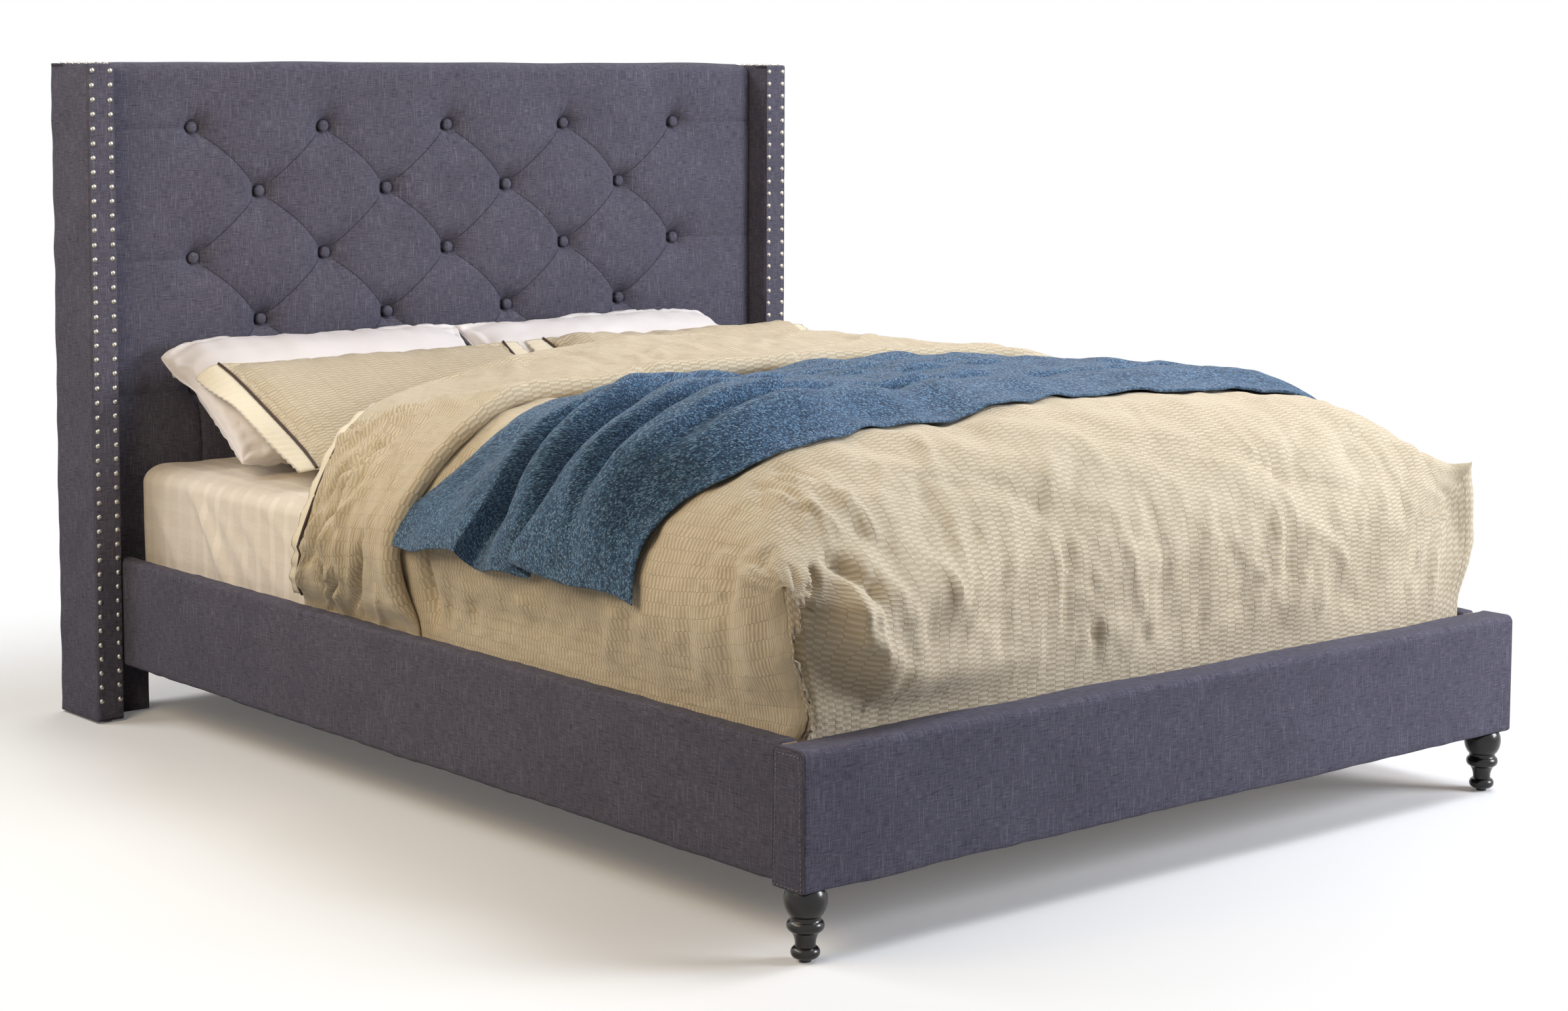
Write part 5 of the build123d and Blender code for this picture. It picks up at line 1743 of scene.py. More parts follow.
    def body(self) -> bpy.types.Object:
        """The comforter's main form, dented at its tacks and creased where it is drawn over the corners."""
        piece = make_mesh("comforter_seersucker", self._body_patches(), weld=2e-4)
        creases = [*self.CORNER, *self._tack_creases()]
        tacks = np.array([*self.TACKS, (-0.812, -0.44, 0.50), (0.815, -0.50, 0.50)])
        fine = Ripple(0.05, 0.0014, 73)
        hem = self.hem_length
        fields = [
            Drags(201, 80, (-0.72, -1.30), (0.75, -0.98), 88, 24, (0.06, 0.24), (0.006, 0.013), (0.0030, 0.0085)),
            Drags(202, 40, (-0.70, -1.15), (0.75, -0.80), 62, 24, (0.08, 0.26), (0.008, 0.016), (0.0020, 0.0055)),
            *Drags(203, 30, (-hem + 0.04, -0.95), (-0.95, -0.10), 0, 12, (0.05, 0.15), (0.006, 0.011),
                   (0.0030, 0.0090)).pair(),
            *Drags(205, 26, (-1.0, -0.95), (-0.65, -0.10), 20, 25, (0.10, 0.30), (0.010, 0.020),
                   (0.0015, 0.0045)).pair(),
            Drags(207, 24, (-0.6, -0.85), (0.6, -0.10), 60, 40, (0.15, 0.40), (0.014, 0.026), (0.0012, 0.0032)),
            Drags(208, 34, (-0.90, -1.18), (-0.60, -0.84), 70, 24, (0.05, 0.17), (0.006, 0.012), (0.0035, 0.0090)),
        ]
        spots, rest = spots_of(piece), vertices_of(piece)
        outside = (np.abs(rest[:, 0]) > 0.772) | (rest[:, 1] < self.foot + 0.006) | (rest[:, 2] > 0.512)

        def height(points: Array, normals: Array) -> Array:
            """Puffs, puckers and creases, held flat where the shell touches the bed or the rails."""
            free = smooth(points[:, 2], self.rail_top - 0.004, 0.40) * outside
            corner = smooth(np.hypot(np.abs(points[:, 0]) - self.half, points[:, 1] - self.foot), 0.0, 0.05)
            reach = np.linalg.norm(points[:, None] - tacks, axis=-1).min(axis=1)
            dents = -0.022 * np.exp(-reach / 0.030)
            drags = sum(field.at(spots) for field in fields) * corner
            folds = sum(crease.at(points) for crease in creases)
            under = spots[:, 1] - self.edge(self.FOOT_EDGE, spots[:, 0]) + 0.018
            groove = -0.036 * bell(under, 0.021) * smooth(np.abs(spots[:, 0]), 0.70, 0.85)
            total = self.softness(points) * corner + fine.at(points) + dents + folds + drags + groove
            low = np.minimum((folds + drags) * 0.6, 0.0) * smooth(points[:, 2], self.hem, self.rail_top + 0.01)
            return np.where(free > 0.02, total * free, low * outside)

        swell(piece, height)
        points = vertices_of(piece)
        points[:, 1] -= self._pleat(rest) * outside
        place(piece, points)
        return settle(piece, SEERSUCKER, "comforter", slot="sand_seersucker")

    def _band_height(self, p: Array, y: Array) -> Array:
        """Folds and puffs of the band: long slanting drags on its near side and soft swellings between."""
        spots, points = np.stack([p, y], axis=-1), self.shell(p, y)
        fields = [
            *Drags(211, 48, (-1.08, 0.08), (-0.70, 0.27), -28, 9, (0.12, 0.32), (0.0045, 0.009),
                   (0.0060, 0.0150)).pair(),
            *Drags(215, 22, (-1.02, -0.02), (-0.66, 0.20), 8, 16, (0.10, 0.26), (0.008, 0.016),
                   (0.0030, 0.0080)).pair(),
            Drags(213, 34, (-0.65, 0.00), (0.65, 0.40), 35, 22, (0.15, 0.45), (0.010, 0.022), (0.0020, 0.0055)),
            Drags(214, 26, (-0.95, -0.08), (-0.30, 0.06), 70, 20, (0.04, 0.12), (0.006, 0.011), (0.0020, 0.0050)),
        ]
        drags = sum(field.at(spots) for field in fields)
        return drags + Ripple(0.22, 0.0050, 81).at(points) + Ripple(0.07, 0.0018, 82).at(points)

    def on_band(self, p: Array, y: Array, height: Array) -> Array:
        """A point this far off the shell."""
        return self.shell(p, y) + self.out(p, y) * height[..., None]

    def _thickness(self, p: Array) -> Array:
        """The band's thickness, which thins to a few millimetres beside the rails and is fullest at the shoulders."""
        thinned = smooth(np.abs(p), self.hem_length - 0.100, self.hem_length - 0.012)
        return self.fold_thick - (self.fold_thick - 0.0035) * thinned

    def _columns(self) -> Array:
        """Places p of the band's columns, hem to hem."""
        half = spaced(0, self.hem_length - 0.004, 0.0072)
        return np.concatenate([-half[::-1], half[1:]])

    def _band_ends(self, p: Array) -> tuple[Array, Array]:
        """The band's foot and head edges at p, with a little wander."""
        first = self.edge(self.FOOT_EDGE, p) + 0.006 * np.sin(p * 6.0 + 0.4) + 0.003 * np.sin(p * 19.0)
        last = self.edge(self.HEAD_EDGE, p) + 0.005 * np.sin(p * 9.0 + 0.6) + 0.003 * np.sin(p * 23.0)
        return first, last

    def band(self) -> bpy.types.Object:
        """The folded-back band: a closed loop round the band's section, carried from hem to hem."""
        p = self._columns()
        thick = self._thickness(p)
        full = thick / self.fold_thick
        first, last = self._band_ends(p)
        turn = np.linspace(-np.pi / 2, np.pi / 2, 11)[1:-1, None]
        along = np.linspace(0, 1, 62)[:, None]
        r = thick / 2
        span = last - first - 2 * r
        ys = np.concatenate([first + r + span * along, last - r + np.cos(turn) * r,
                             last - r - span * along, first + r - np.cos(turn) * r])
        shares = np.concatenate([along * 0, 0.5 + 0.5 * np.sin(turn), along * 0 + 1, 0.5 - 0.5 * np.sin(turn)])
        grid_p = np.broadcast_to(p, ys.shape)
        edge = np.minimum(ys - first, last - ys)
        rise = self._band_height(grid_p, ys) * smooth(edge, 0.0, 0.03) * (0.35 + 0.65 * full)
        gathered = 0.25 + bell(p + 0.30, 0.10) + 0.8 * bell(p - 0.05, 0.06) + 0.6 * bell(p + 0.66, 0.05)
        pucker = Ripple(0.034, 0.0042, 83, (1.0, 0.35, 0.35)).at(self.shell(grid_p, ys)) \
            * bell(ys - first, 0.022) * gathered * full
        roll = 0.006 * bell(ys - first - 0.016, 0.016) * full
        height = 0.0015 + shares * (thick + rise + pucker + roll)
        points = self.on_band(grid_p, ys, height)
        points = np.concatenate([points, points[:1]])
        cloth = stacked(p, arc_length(points)[:, [len(p) // 2]])
        ends = [lofted(np.stack([points[:, k], np.repeat(points[:-1, k].mean(axis=0)[None], len(points), axis=0)]))
                for k in (0, -1)]
        piece = make_mesh("comforter_folded_band", [Patch(points, cloth), *ends])
        return settle(piece, SEERSUCKER, slot="sand_seersucker")

    def trim(self) -> None:
        """Cream flange, dark piping and a thin cream cord along the band's head edge."""
        p = self._columns()
        p = p[np.abs(p) < 1.075]
        thick = self._thickness(p)
        last = self._band_ends(p)[1]
        beside = smooth(np.abs(p), 0.60, 0.76)
        middle = thick * (0.45 + 0.435 * beside) + 0.0015
        wave = 0.0022 * np.sin(p * TURN / 0.052 + 1.7 * np.sin(p * 13.0))
        share = np.linspace(0, 1, 6)[:, None]
        start = last - thick * (0.02 + 0.16 * beside)
        ys = start + (self.flange + 0.006) * share
        heights = middle + (wave - 0.10 * middle) * share * smooth(thick, 0.006, 0.03)
        grid_p = np.broadcast_to(p, ys.shape)
        upper, lower = (self.on_band(grid_p, ys, heights + off) for off in (0.0009, -0.0009))
        settle(make_mesh("comforter_cream_flange", ribbon(upper, lower)), CREAM)
        corded("comforter_dark_piping", self.on_band(p, start - 0.0005, middle + 0.0020), 0.0026, PIPING)
        corded("comforter_cream_cord", self.on_band(p, ys[-1], heights[-1]), 0.0017, CREAM_CORD)

    def build(self) -> None:
        """Body, band and trim."""
        self.body()
        self.band()
        self.trim()


@dataclass
class Throw:
    """The nubby throw laid across the comforter, gathered at its left shoulder and hanging down that side.

    Attributes:
        under: the comforter, whose shell it follows.
        left: place p of its hanging end; right is that of the other end.
        thick: its thickness; hem_round is the width over which its hems thin out.
        clear: its distance from the shell.
        swell_height: height of the swell that its valleys cut.
    """

    under: Comforter
    left: float = -0.922
    right: float = 0.805
    thick: float = 0.006
    clear: float = 0.007
    swell_height: float = 0.068
    hem_round: float = 0.0045

    # Each valley: at the places p of PLACES its share of the way from the foot edge to the head edge and its depth,
    # and then its width.
    PLACES = (-0.93, -0.84, -0.72, -0.55, -0.30, 0.05, 0.40, 0.85)
    VALLEYS = (((0.60, 0.60, 0.63, 0.69, 0.74, 0.78, 0.80, 0.80), (1.0, 1.0, 1.0, 0.95, 0.8, 0.5, 0.3, 0.1), 0.034),
               ((0.385, 0.40, 0.45, 0.53, 0.60, 0.64, 0.66, 0.66), (1.0, 1.0, 1.0, 1.0, 0.9, 0.7, 0.4, 0.2), 0.040),
               ((0.16, 0.20, 0.27, 0.35, 0.42, 0.47, 0.52, 0.55), (0.1, 0.3, 0.75, 0.85, 0.7, 0.6, 0.5, 0.3), 0.030),
               ((0.80, 0.80, 0.81, 0.84, 0.86, 0.87, 0.88, 0.88), (0.1, 0.2, 0.35, 0.4, 0.35, 0.3, 0.2, 0.1), 0.022),
               ((0.06, 0.07, 0.11, 0.16, 0.20, 0.24, 0.28, 0.30), (0.0, 0.1, 0.3, 0.45, 0.5, 0.5, 0.45, 0.3), 0.026))
    # How far the hanging hem stands out, and how far its lips lean along the bed, by that share.
    HEM = ((0.0, 0.005), (0.08, 0.020), (0.20, 0.036), (0.31, 0.050), (0.352, 0.052), (0.372, 0.006), (0.42, 0.004),
           (0.455, 0.022), (0.50, 0.026), (0.54, 0.014), (0.575, 0.003), (0.612, 0.004), (0.632, 0.046), (0.67, 0.046),
           (0.76, 0.034), (0.88, 0.020), (1.0, 0.006))
    LIPS = ((0.0, 0.0), (0.25, 0.0), (0.345, 0.030), (0.372, 0.010), (0.40, 0.0), (0.60, 0.0), (0.618, -0.010),
            (0.642, -0.030), (0.74, 0.0), (1.0, 0.0))
    # Places (p, y) of the two long edges.
    FOOT_EDGE = ((-0.922, -0.705), (-0.86, -0.700), (-0.79, -0.722), (-0.72, -0.765), (-0.63, -0.798), (-0.50, -0.800),
                 (-0.23, -0.762), (0.24, -0.710), (0.56, -0.740), (0.805, -0.850))
    HEAD_EDGE = ((-0.922, 0.020), (-0.86, -0.070), (-0.787, -0.135), (-0.712, -0.180), (-0.60, -0.150), (-0.45, -0.108),
                 (-0.20, -0.086), (0.14, -0.084), (0.55, -0.094), (0.70, -0.135), (0.805, -0.120))

    def edge(self, line: Sequence[tuple[float, float]], p: Array) -> Array:
        """An edge's place y at p: straight between its points, then softened by a 6 cm moving mean."""
        x, y = np.array(line).T
        offsets = np.linspace(-0.03, 0.03, 9)
        return np.interp(p[..., None] + offsets, x, y).mean(axis=-1)

    def _lift(self, p: Array, share: Array) -> Array:
        """Height of the long folds: a swell cut by valleys, depth x exp(-(|d| / width)^1.9), steep on the head side."""
        high = np.ones(p.shape)
        for number, (line, depth, width) in enumerate(self.VALLEYS):
            off = share - np.interp(p, self.PLACES, line) - 0.008 * np.sin(p * 11.0 + number * 2.1)
            lean = np.where(off > 0, 0.62, 1.5)
            high -= np.interp(p, self.PLACES, depth) * np.exp(-((np.abs(off) / (width * lean)) ** 1.9))
        late = 0.10 * smooth(1 - share, 0.0, 0.05) + 0.90 * smooth(1 - share, 0.10, 0.45)
        far = smooth(p, -0.35, 0.3) * smooth(1 - share, 0.0, 0.08)
        ends = smooth(share, 0.0, 0.14) * (late + 0.6 * (1 - late) * far)
        across = 0.42 + 0.58 * smooth(-p, 0.0, 0.6)
        return self.swell_height * np.maximum(high, -0.02) * ends * across * (1 + 0.25 * bell(p + 0.70, 0.20))

    def build(self) -> bpy.types.Object:
        """Upper and lower faces that meet along all four edges, with rounded hems.

        Along the hanging end the hem waves in and out in flutes that fade towards the shoulder.
        """
        border = np.array([0.0, 0.0006, 0.002, 0.004])
        inner = spaced(self.left + 0.008, self.right - 0.008, 0.0085)
        p = np.concatenate([self.left + border, inner, self.right - border[::-1]])
        edge = np.array([0.0, 0.0008, 0.0025, 0.0055])
        share = np.concatenate([edge, spaced(0.0095, 0.9905, 0.0052), 1 - edge[::-1]])
        grid_p, grid_s = np.meshgrid(p, share)
        low, high = self.edge(self.FOOT_EDGE, grid_p), self.edge(self.HEAD_EDGE, grid_p)
        low = low + 0.007 * np.sin(grid_p * 13.0) + 0.004 * np.sin(grid_p * 29.0)
        y = low + (high - low) * grid_s
        hang = smooth(-grid_p, 0.72, 0.93)
        places, stands = np.array(self.HEM).T
        flute = np.interp(grid_s[..., None] + np.linspace(-0.012, 0.012, 5), places, stands).mean(axis=-1)
        lift = self._lift(grid_p, grid_s) * (1 - hang) + (0.002 + flute) * hang
        at_p = grid_p + (flute * 0.50 - 0.012 + 0.004 * np.sin(grid_s * 21.0)) * smooth(-grid_p, 0.84, 0.93)
        y = y + np.interp(grid_s, *np.array(self.LIPS).T) * hang
        fine = Ripple(0.05, 0.0012, 91).at(stacked(grid_p, y, 0.0))
        base, way = self.under.shell(at_p, y), self.under.out(at_p, y)
        inset = np.minimum.reduce([grid_s * (high - low), (1 - grid_s) * (high - low),
                                   grid_p - self.left, self.right - grid_p])
        hem = np.sqrt(np.clip(1 - (1 - np.clip(inset / self.hem_round, 0, 1)) ** 2, 0.0, 1.0))
        middle, half = self.clear + lift + fine + self.under.softness(base), self.thick / 2 * hem
        upper, lower = base + way * (middle + half)[..., None], base + way * (middle - half)[..., None]
        cloth = stacked(arc_length(upper, 1), arc_length(upper))
        piece = make_mesh("throw_knit", [Patch(upper, cloth), Patch(lower, cloth)], weld=1e-6)
        return settle(piece, KNIT, "throw", slot="blue_knit")


# The pillows and shams.


@dataclass
class Pillow:
    """A stuffed pillow, made flat about the origin and then leaned on its long edge.

    Attributes:
        name: the piece's name.
        node: the CAD node that it stands for.
        size: length, height and thickness.
        x: its middle across the bed.
        low: (y, z) of its lower edge.
        high: (y, z) that its upper edge points at.
        turn: degrees about its own face.
        finish: cloth of its body.
        slot: the record's material slot.
        seed: for its wrinkles.
        flange: width of flat flange at its two ends, 0 for none.
        step: spacing of its grid.
    """

    name: str
    node: str
    size: tuple[float, float, float]
    x: float
    low: tuple[float, float]
    high: tuple[float, float]
    turn: float
    finish: Finish
    slot: str
    seed: int
    flange: float = 0.0
    step: float = 0.0095

    def _leaning(self) -> Matrix:
        """The matrix that leans a flat pillow back."""
        (low_y, low_z), (high_y, high_z) = self.low, self.high
        tilt = Matrix.Rotation(math.atan2(high_z - low_z, high_y - low_y), 4, "X")
        middle = Vector((self.x, (low_y + high_y) / 2, (low_z + high_z) / 2))
        return Matrix.Translation(middle) @ tilt @ Matrix.Rotation(math.radians(self.turn), 4, "Z")

    def moved(self, points: Array) -> Array:
        """Points of the flat pillow where they stand on the bed."""
        matrix = np.array(self._leaning())
        return points @ matrix[:3, :3].T + matrix[:3, 3]

    def _plan(self, a: Array, b: Array) -> tuple[Array, Array]:
        """Plan of the body at shares a and b from -1 to 1: sides draw in between pointed corners."""
        length, height, _ = self.size
        half_x, half_y = length / 2 - self.flange, height / 2
        x = a * half_x * (1 - 0.030 * (1 - b**4))
        y = b * half_y * (1 - 0.045 * (1 - a**4))
        return x, y

    def _body_patches(self) -> list[Patch]:
        """Front and back, thickest in the middle: half thickness x ((1 - a^4)(1 - b^2))^0.42 and radiating pinches."""
        length, height, thick = self.size
        bunch = np.pi / 2 * 0.96
        a, b = (np.sin(np.linspace(-1, 1, int(side / self.step)) * bunch) / math.sin(bunch)
                for side in (length, height))
        ga, gb = np.meshgrid(a, b)
        x, y = self._plan(ga, gb)
        body = np.maximum((1 - ga**4) * (1 - gb**2), 0.0) ** 0.42
        phases = np.random.default_rng(self.seed).uniform(0, TURN, 4)
        near_side, near_long = np.exp(-(1 - np.abs(ga)) / 0.10), np.exp(-(1 - np.abs(gb)) / 0.16)
        pinch = near_side * np.sin(y * TURN / 0.043 + phases[0] + 2 * np.sin(y * 17 + phases[1])) \
            + 0.8 * near_long * np.sin(x * TURN / 0.060 + phases[2] + 2 * np.sin(x * 11 + phases[3]))
        z = thick / 2 * body * (1 + 0.05 * pinch) + 0.0026 * pinch * np.minimum(body * 3, 1.0)
        return [Patch(stacked(x, y, sign * z), stacked(x, y) + shift) for sign, shift in ((1, 0.0), (-1, 2.0))]

    def _drooped(self, flat: Array, leaned: Array) -> Array:
        """Lets the empty cloth at a plain pillow's upper corner hang at its outer end, down by 4 cm x closeness."""
        if not self.flange:
            end = np.exp(-(self.size[0] / 2 - flat[:, 0] * np.sign(self.x)) / 0.022)
            leaned[:, 2] -= 0.042 * end * bell(flat[:, 1] - 0.36 * self.size[1], 0.075)
        return leaned

    def body(self) -> bpy.types.Object:
        """The body: swollen by a cloth simulation that wrinkles it along the seam, then leaned back."""
        piece = make_mesh(self.name, self._body_patches(), weld=1e-5)
        relax(piece, 18, 3.5, 0.010, grow=0.02, hold=(np.abs(vertices_of(piece)[:, 2]) < 1e-4).astype(float))
        points, normals = vertices_of(piece), vectors(piece.data.vertex_normals, "vector")
        soft = Ripple(0.17, 0.0035, self.seed).at(points) + Ripple(0.06, 0.0012, self.seed + 1).at(points)
        away = np.minimum(self.size[0] / 2 - self.flange - np.abs(points[:, 0]),
                          self.size[1] / 2 - np.abs(points[:, 1]))
        points = points + normals * (soft * smooth(away, 0.0, 0.05))[:, None]
        place(piece, self._drooped(points, self.moved(points)))
        return settle(piece, self.finish, self.node, slot=self.slot)

    def seam(self) -> bpy.types.Object:
        """The sewn edge that stands out a little all round the body."""
        t = np.linspace(0, 1, 90)[:-1]
        one = np.ones_like(t)
        a = np.concatenate([2 * t - 1, one, 1 - 2 * t, -one])
        b = np.concatenate([-one, 2 * t - 1, one, 1 - 2 * t])
        x, y = self._plan(a, b)
        piece = make_mesh(f"{self.name}_seam", [tube(stacked(x, y, 0.0), 0.0016, 8, closed=True)], weld=1e-6)
        flat = vertices_of(piece)
        place(piece, self._drooped(flat, self.moved(flat)))
        return settle(piece, self.finish)

    def flanges(self) -> None:
        """Cream flanges at the two ends with fine gathers, brown piping along the seam and a cream cord outside."""
        length, height, _ = self.size
        b = np.linspace(-1, 1, int(height / 0.006))
        for end in (-1, 1):
            x0, y0 = self._plan(np.full_like(b, float(end)), b)
            tip = end * (length / 2)
            share = np.linspace(0, 1, 8)[:, None]
            curl = 0.030 if end < 0 and self.x < 0 else 0.006
            gather = 0.0020 * np.sin(y0 * TURN / 0.017 + 1.5 * np.sin(y0 * 30)) * np.sin(share * np.pi / 2)
            x = x0 + (tip - x0) * share - end * 0.006 * np.sin(np.abs(b) * np.pi / 2) ** 8 * share
            y = y0 * (1 + 0.02 * share)
            z = gather - curl * share**2 * smooth(b, 0.1, 1.0)
            name = f"{self.name}_{'left' if end < 0 else 'right'}"
            piece = make_mesh(f"{name}_flange", ribbon(stacked(x, y, z + 0.0010), stacked(x, y, z - 0.0010)), weld=1e-6)
            place(piece, self.moved(vertices_of(piece)))
            settle(piece, CREAM)
            corded(f"{name}_piping", self.moved(stacked(x0 + end * 0.001, y0, 0.003)), 0.0026, PIPING)
            corded(f"{name}_cord", self.moved(stacked(x[-1] - end * 0.001, y[-1], z[-1] + 0.001)), 0.0016, CREAM_CORD)

    def build(self) -> None:
        """Body and seam or flanges."""
        self.body()
        if self.flange:
            self.flanges()
        self.seam()


# Finishes of the CAD pieces, the studio and the camera.

FRAME_FINISHES: tuple[tuple[Finish, str, tuple[str, ...]], ...] = (
    (PLY, "plywood", ("headboard_board", "headboard_base_board", "side_rail_board", "footboard_front_board",
                      "footboard_back_board")),
    (PINE, "pine", ("headboard_crossbars", "footboard_bars", "footboard_end_blocks")),
    (PINE_UP, "pine", ("headboard_stiles", "headboard_leg_blocks", "wing_core", "centre_legs")),
    (PINE_LONG, "pine", ("slat_ledger", "centre_beam")),
    (BEECH, "pine", ("slats",)),
    (NYLON, "nylon", ("headboard_leg_glides", "wing_glides", "front_leg_glides", "levelling_foot")),
    (LACQUER, "black_lacquer", ("front_leg",)),
    (BLACK_STEEL, "black_steel", ("head_brackets", "foot_brackets", "beam_hangers")),
    (ZINC, "zinc_steel", ("wing_bolts", "ledger_screws", "head_bracket_bolts", "foot_bracket_bolts",
                          "leg_hanger_bolts", "leg_plates", "slat_screws", "beam_hanger_screws", "centre_leg_bolts",
                          "leveller_inserts")))


class Framework:
    """The CAD pieces that stay as they are."""

    @staticmethod
    def build() -> None:
        """Dresses each carried-over node with the finish of the longest name that its own begins with."""
        finishes = {name: (finish, slot) for finish, slot, names in FRAME_FINISHES for name in names}
        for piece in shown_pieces():
            key = max((name for name in finishes if piece.name.startswith(name)), key=len, default=None)
            if "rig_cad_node" not in piece or key is None:
                continue
            finish, slot = finishes[key]
            finish.on(piece)
            log.info("%s: %s", piece.name, finish.name)


@dataclass
class Studio:
    """Pale floor and backdrop, soft lamps and the photograph's camera.

    Attributes:
        spot: where the camera stands.
        yaw: its turn from +Y towards +X, in radians; pitch is down and roll anticlockwise.
        lens: focal length in millimetres; shift_y moves the picture.
        sky: colour of the world's light; sky_strength is how strong it is.
        floor_tone: the floor's grey near the bed; bounce is the grey that it has for all rays but the eye's.
    """

    spot: tuple[float, float, float] = (-3.524, -4.256, 1.299)
    yaw: float = 0.701
    pitch: float = 0.090
    roll: float = 0.004
    lens: float = 67.78
    shift_y: float = -0.113
    sky: Colour = (0.97, 0.97, 1.0)
    sky_strength: float = 0.10
    floor_tone: float = 0.90
    bounce: float = 0.42

    def camera(self) -> None:
        """A camera whose three axes are worked out from yaw, pitch and roll."""
        ahead = Vector((math.sin(self.yaw) * math.cos(self.pitch), math.cos(self.yaw) * math.cos(self.pitch),
                        -math.sin(self.pitch)))
        right = Vector((math.cos(self.yaw), -math.sin(self.yaw), 0.0))
        up = right.cross(ahead)
        turned = right * math.cos(self.roll) + up * math.sin(self.roll)
        upright = up * math.cos(self.roll) - right * math.sin(self.roll)
        lens = bpy.data.cameras.new("photo_camera")
        lens.lens, lens.sensor_width, lens.shift_y, lens.clip_end = self.lens, 36.0, self.shift_y, 200.0
        camera = bpy.data.objects.new("photo_camera", lens)
        matrix = Matrix((turned, upright, -ahead)).transposed().to_4x4()
        matrix.translation = Vector(self.spot)
        camera.matrix_world = matrix
        bpy.context.scene.collection.objects.link(camera)
        bpy.context.scene.camera = camera

    def lamp(self, name: str, spot: tuple[float, float, float], aim: tuple[float, float, float], size: float,
             power: float, colour: Colour) -> None:
        """A square area lamp aimed at a point.

        Args:
            name: the lamp's name.
            spot: where it hangs.
            aim: what it points at.
            size: side of the square in metres.
            power: watts.
            colour: its light's colour.
        """
        data = bpy.data.lights.new(name, "AREA")
        data.shape, data.size, data.energy, data.color = "SQUARE", size, power, colour
        lamp = bpy.data.objects.new(name, data)
        lamp.location = spot
        lamp.rotation_euler = (Vector(aim) - Vector(spot)).to_track_quat("-Z", "Y").to_euler()
        bpy.context.scene.collection.objects.link(lamp)

    def _unlit(self, board: Board, seen: Any, lit: Any) -> bpy.types.NodeSocket:
        """Mixes what the camera, mirrors and glass see with what lights the scene."""
        path = board.add("ShaderNodeLightPath")
        rays = [Signal(board, path.outputs[name]) for name in ("Is Camera Ray", "Is Glossy Ray", "Is Transmission Ray")]
        share = rays[0].most(rays[1]).most(rays[2])
        return board.add("ShaderNodeMixShader", None, {0: share, 1: lit, 2: seen}).outputs[0]

    def world(self) -> None:
        """A world that is white to the eye and gives soft cool light."""
        world = bpy.data.worlds.new("studio")
        bpy.context.scene.world = world
        board = Board(world)
        seen = board.add("ShaderNodeBackground", None, {0: (1.0, 1.0, 1.0, 1.0), 1: 1.0}).outputs[0]
        lit = board.add("ShaderNodeBackground", None, {0: (*self.sky, 1.0), 1: self.sky_strength}).outputs[0]
        board.add("ShaderNodeOutputWorld", None, {0: self._unlit(board, seen, lit)})

    def floor(self) -> None:
        """A wide pale floor that keeps the bed's shadow.

        The eye sees it turn white away from the bed: with d the distance past 0.85 and 1.1 m from the middle, the
        white share is 0.1 + 0.9 x an eased rise of d from 2 cm to 1.1 m. Other rays meet a dimmer floor.
        """
        side = np.linspace(-20, 20, 9)
        points = stacked(*np.meshgrid(side, side), 0.0)
        piece = make_mesh("studio_floor", [Patch(points, points[..., :2])], outward=False)
        board = Board(bpy.data.materials.new("studio_floor"))
        shader = board.add("ShaderNodeBsdfPrincipled", None, {
            "Base Color": (*[self.floor_tone] * 3, 1.0), "Roughness": 0.9, "Specular IOR Level": 0.0})
        white = board.add("ShaderNodeEmission", None, {0: (1.0, 1.0, 1.0, 1.0), 1: 1.0}).outputs[0]
        away_x, away_y, _ = board.parts(board.place())
        away = (((away_x.size() - 0.85).most(0.0)) ** 2.0 + ((away_y.size() - 1.1).most(0.0)) ** 2.0) ** 0.5
        bounce = board.add("ShaderNodeBsdfDiffuse", None, {0: (*[self.bounce] * 3, 1.0)}).outputs[0]
        share = away.eased(0.02, 1.1) * 0.9 + 0.1
        seen = board.add("ShaderNodeMixShader", None, {0: share, 1: shader.outputs[0], 2: white}).outputs[0]
        board.add("ShaderNodeOutputMaterial", None, {0: self._unlit(board, seen, bounce)})
        piece.data.materials.append(board.owner)
        piece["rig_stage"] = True

    def build(self) -> None:
        """The whole studio."""
        scene = bpy.context.scene
        scene.view_settings.view_transform = "Standard"
        self.floor()
        self.world()
        self.lamp("key_low", (2.8, -3.6, 1.7), (0.0, 0.3, 0.7), 1.6, 168.0, (0.92, 0.94, 1.0))
        self.lamp("key_high", (1.2, -1.6, 3.8), (0.0, 0.2, 0.5), 1.6, 94.0, (0.90, 0.95, 1.0))
        self.lamp("above_behind", (0.3, 2.2, 3.4), (0.0, 0.0, 0.5), 1.4, 24.0, (1.0, 0.98, 0.94))
        self.lamp("right_behind", (3.0, 1.2, 2.6), (0.3, 0.0, 0.6), 1.8, 34.0, (1.0, 0.78, 0.6))
        self.lamp("left_behind", (-2.6, 2.2, 3.0), (-0.5, 0.0, 0.5), 1.6, 50.0, (0.95, 0.97, 1.0))
        self.lamp("left_high", (-3.8, -0.6, 2.6), (-0.5, 0.2, 0.6), 1.8, 35.0, (1.0, 0.72, 0.48))
        self.lamp("left_near", (-2.2, -0.2, 1.5), (-0.8, 0.2, 0.5), 0.8, 13.0, (1.0, 0.90, 0.66))
        self.camera()


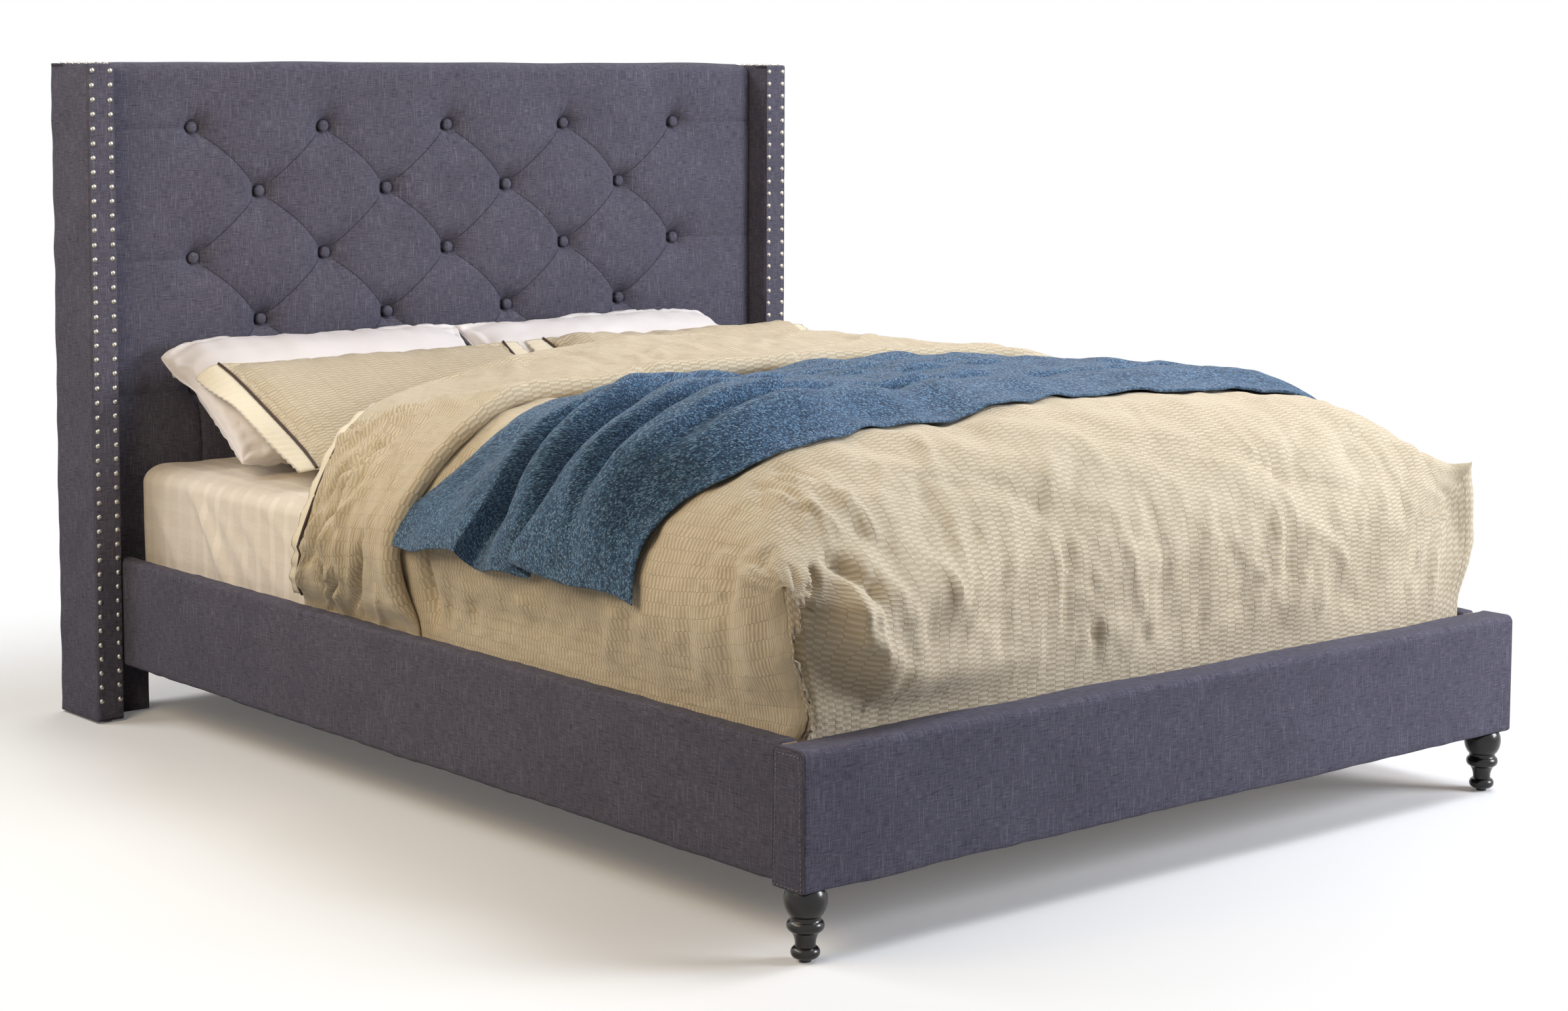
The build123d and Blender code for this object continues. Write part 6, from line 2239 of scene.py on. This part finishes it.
def main() -> None:
    """Builds the dressed bed in order, from the headboard down to the studio."""
    logging.basicConfig(level=logging.INFO, format="%(message)s")
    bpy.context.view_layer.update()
    Framework().build()
    Headboard().build()
    for side in Side:
        Wing(side).build()
        SideRail(side).build()
    Footboard().build()
    MattressSet().build()
    comforter = Comforter()
    comforter.build()
    Throw(comforter).build()
    for side, x, seed in (("left", -0.379, 101), ("right", 0.310, 103)):
        Pillow(name=f"pillow_{side}_cotton", node=f"pillow_{side}", size=(0.690, 0.372, 0.150), x=x,
               low=(0.655, 0.536), high=(0.965, 0.738), turn=0.0, finish=PILLOWCASE, slot="white_cotton",
               seed=seed).build()
    for side, x, turn, seed in (("left", -0.346, 0.6, 105), ("right", 0.426, -1.0, 107)):
        Pillow(name=f"sham_{side}_seersucker", node=f"sham_{side}", size=(0.768, 0.392, 0.105), x=x,
               low=(0.468, 0.548), high=(0.806, 0.707), turn=turn, finish=SEERSUCKER, slot="sand_seersucker",
               seed=seed, flange=0.048).build()
    Studio().build()


if __name__ == "__main__":
    main()
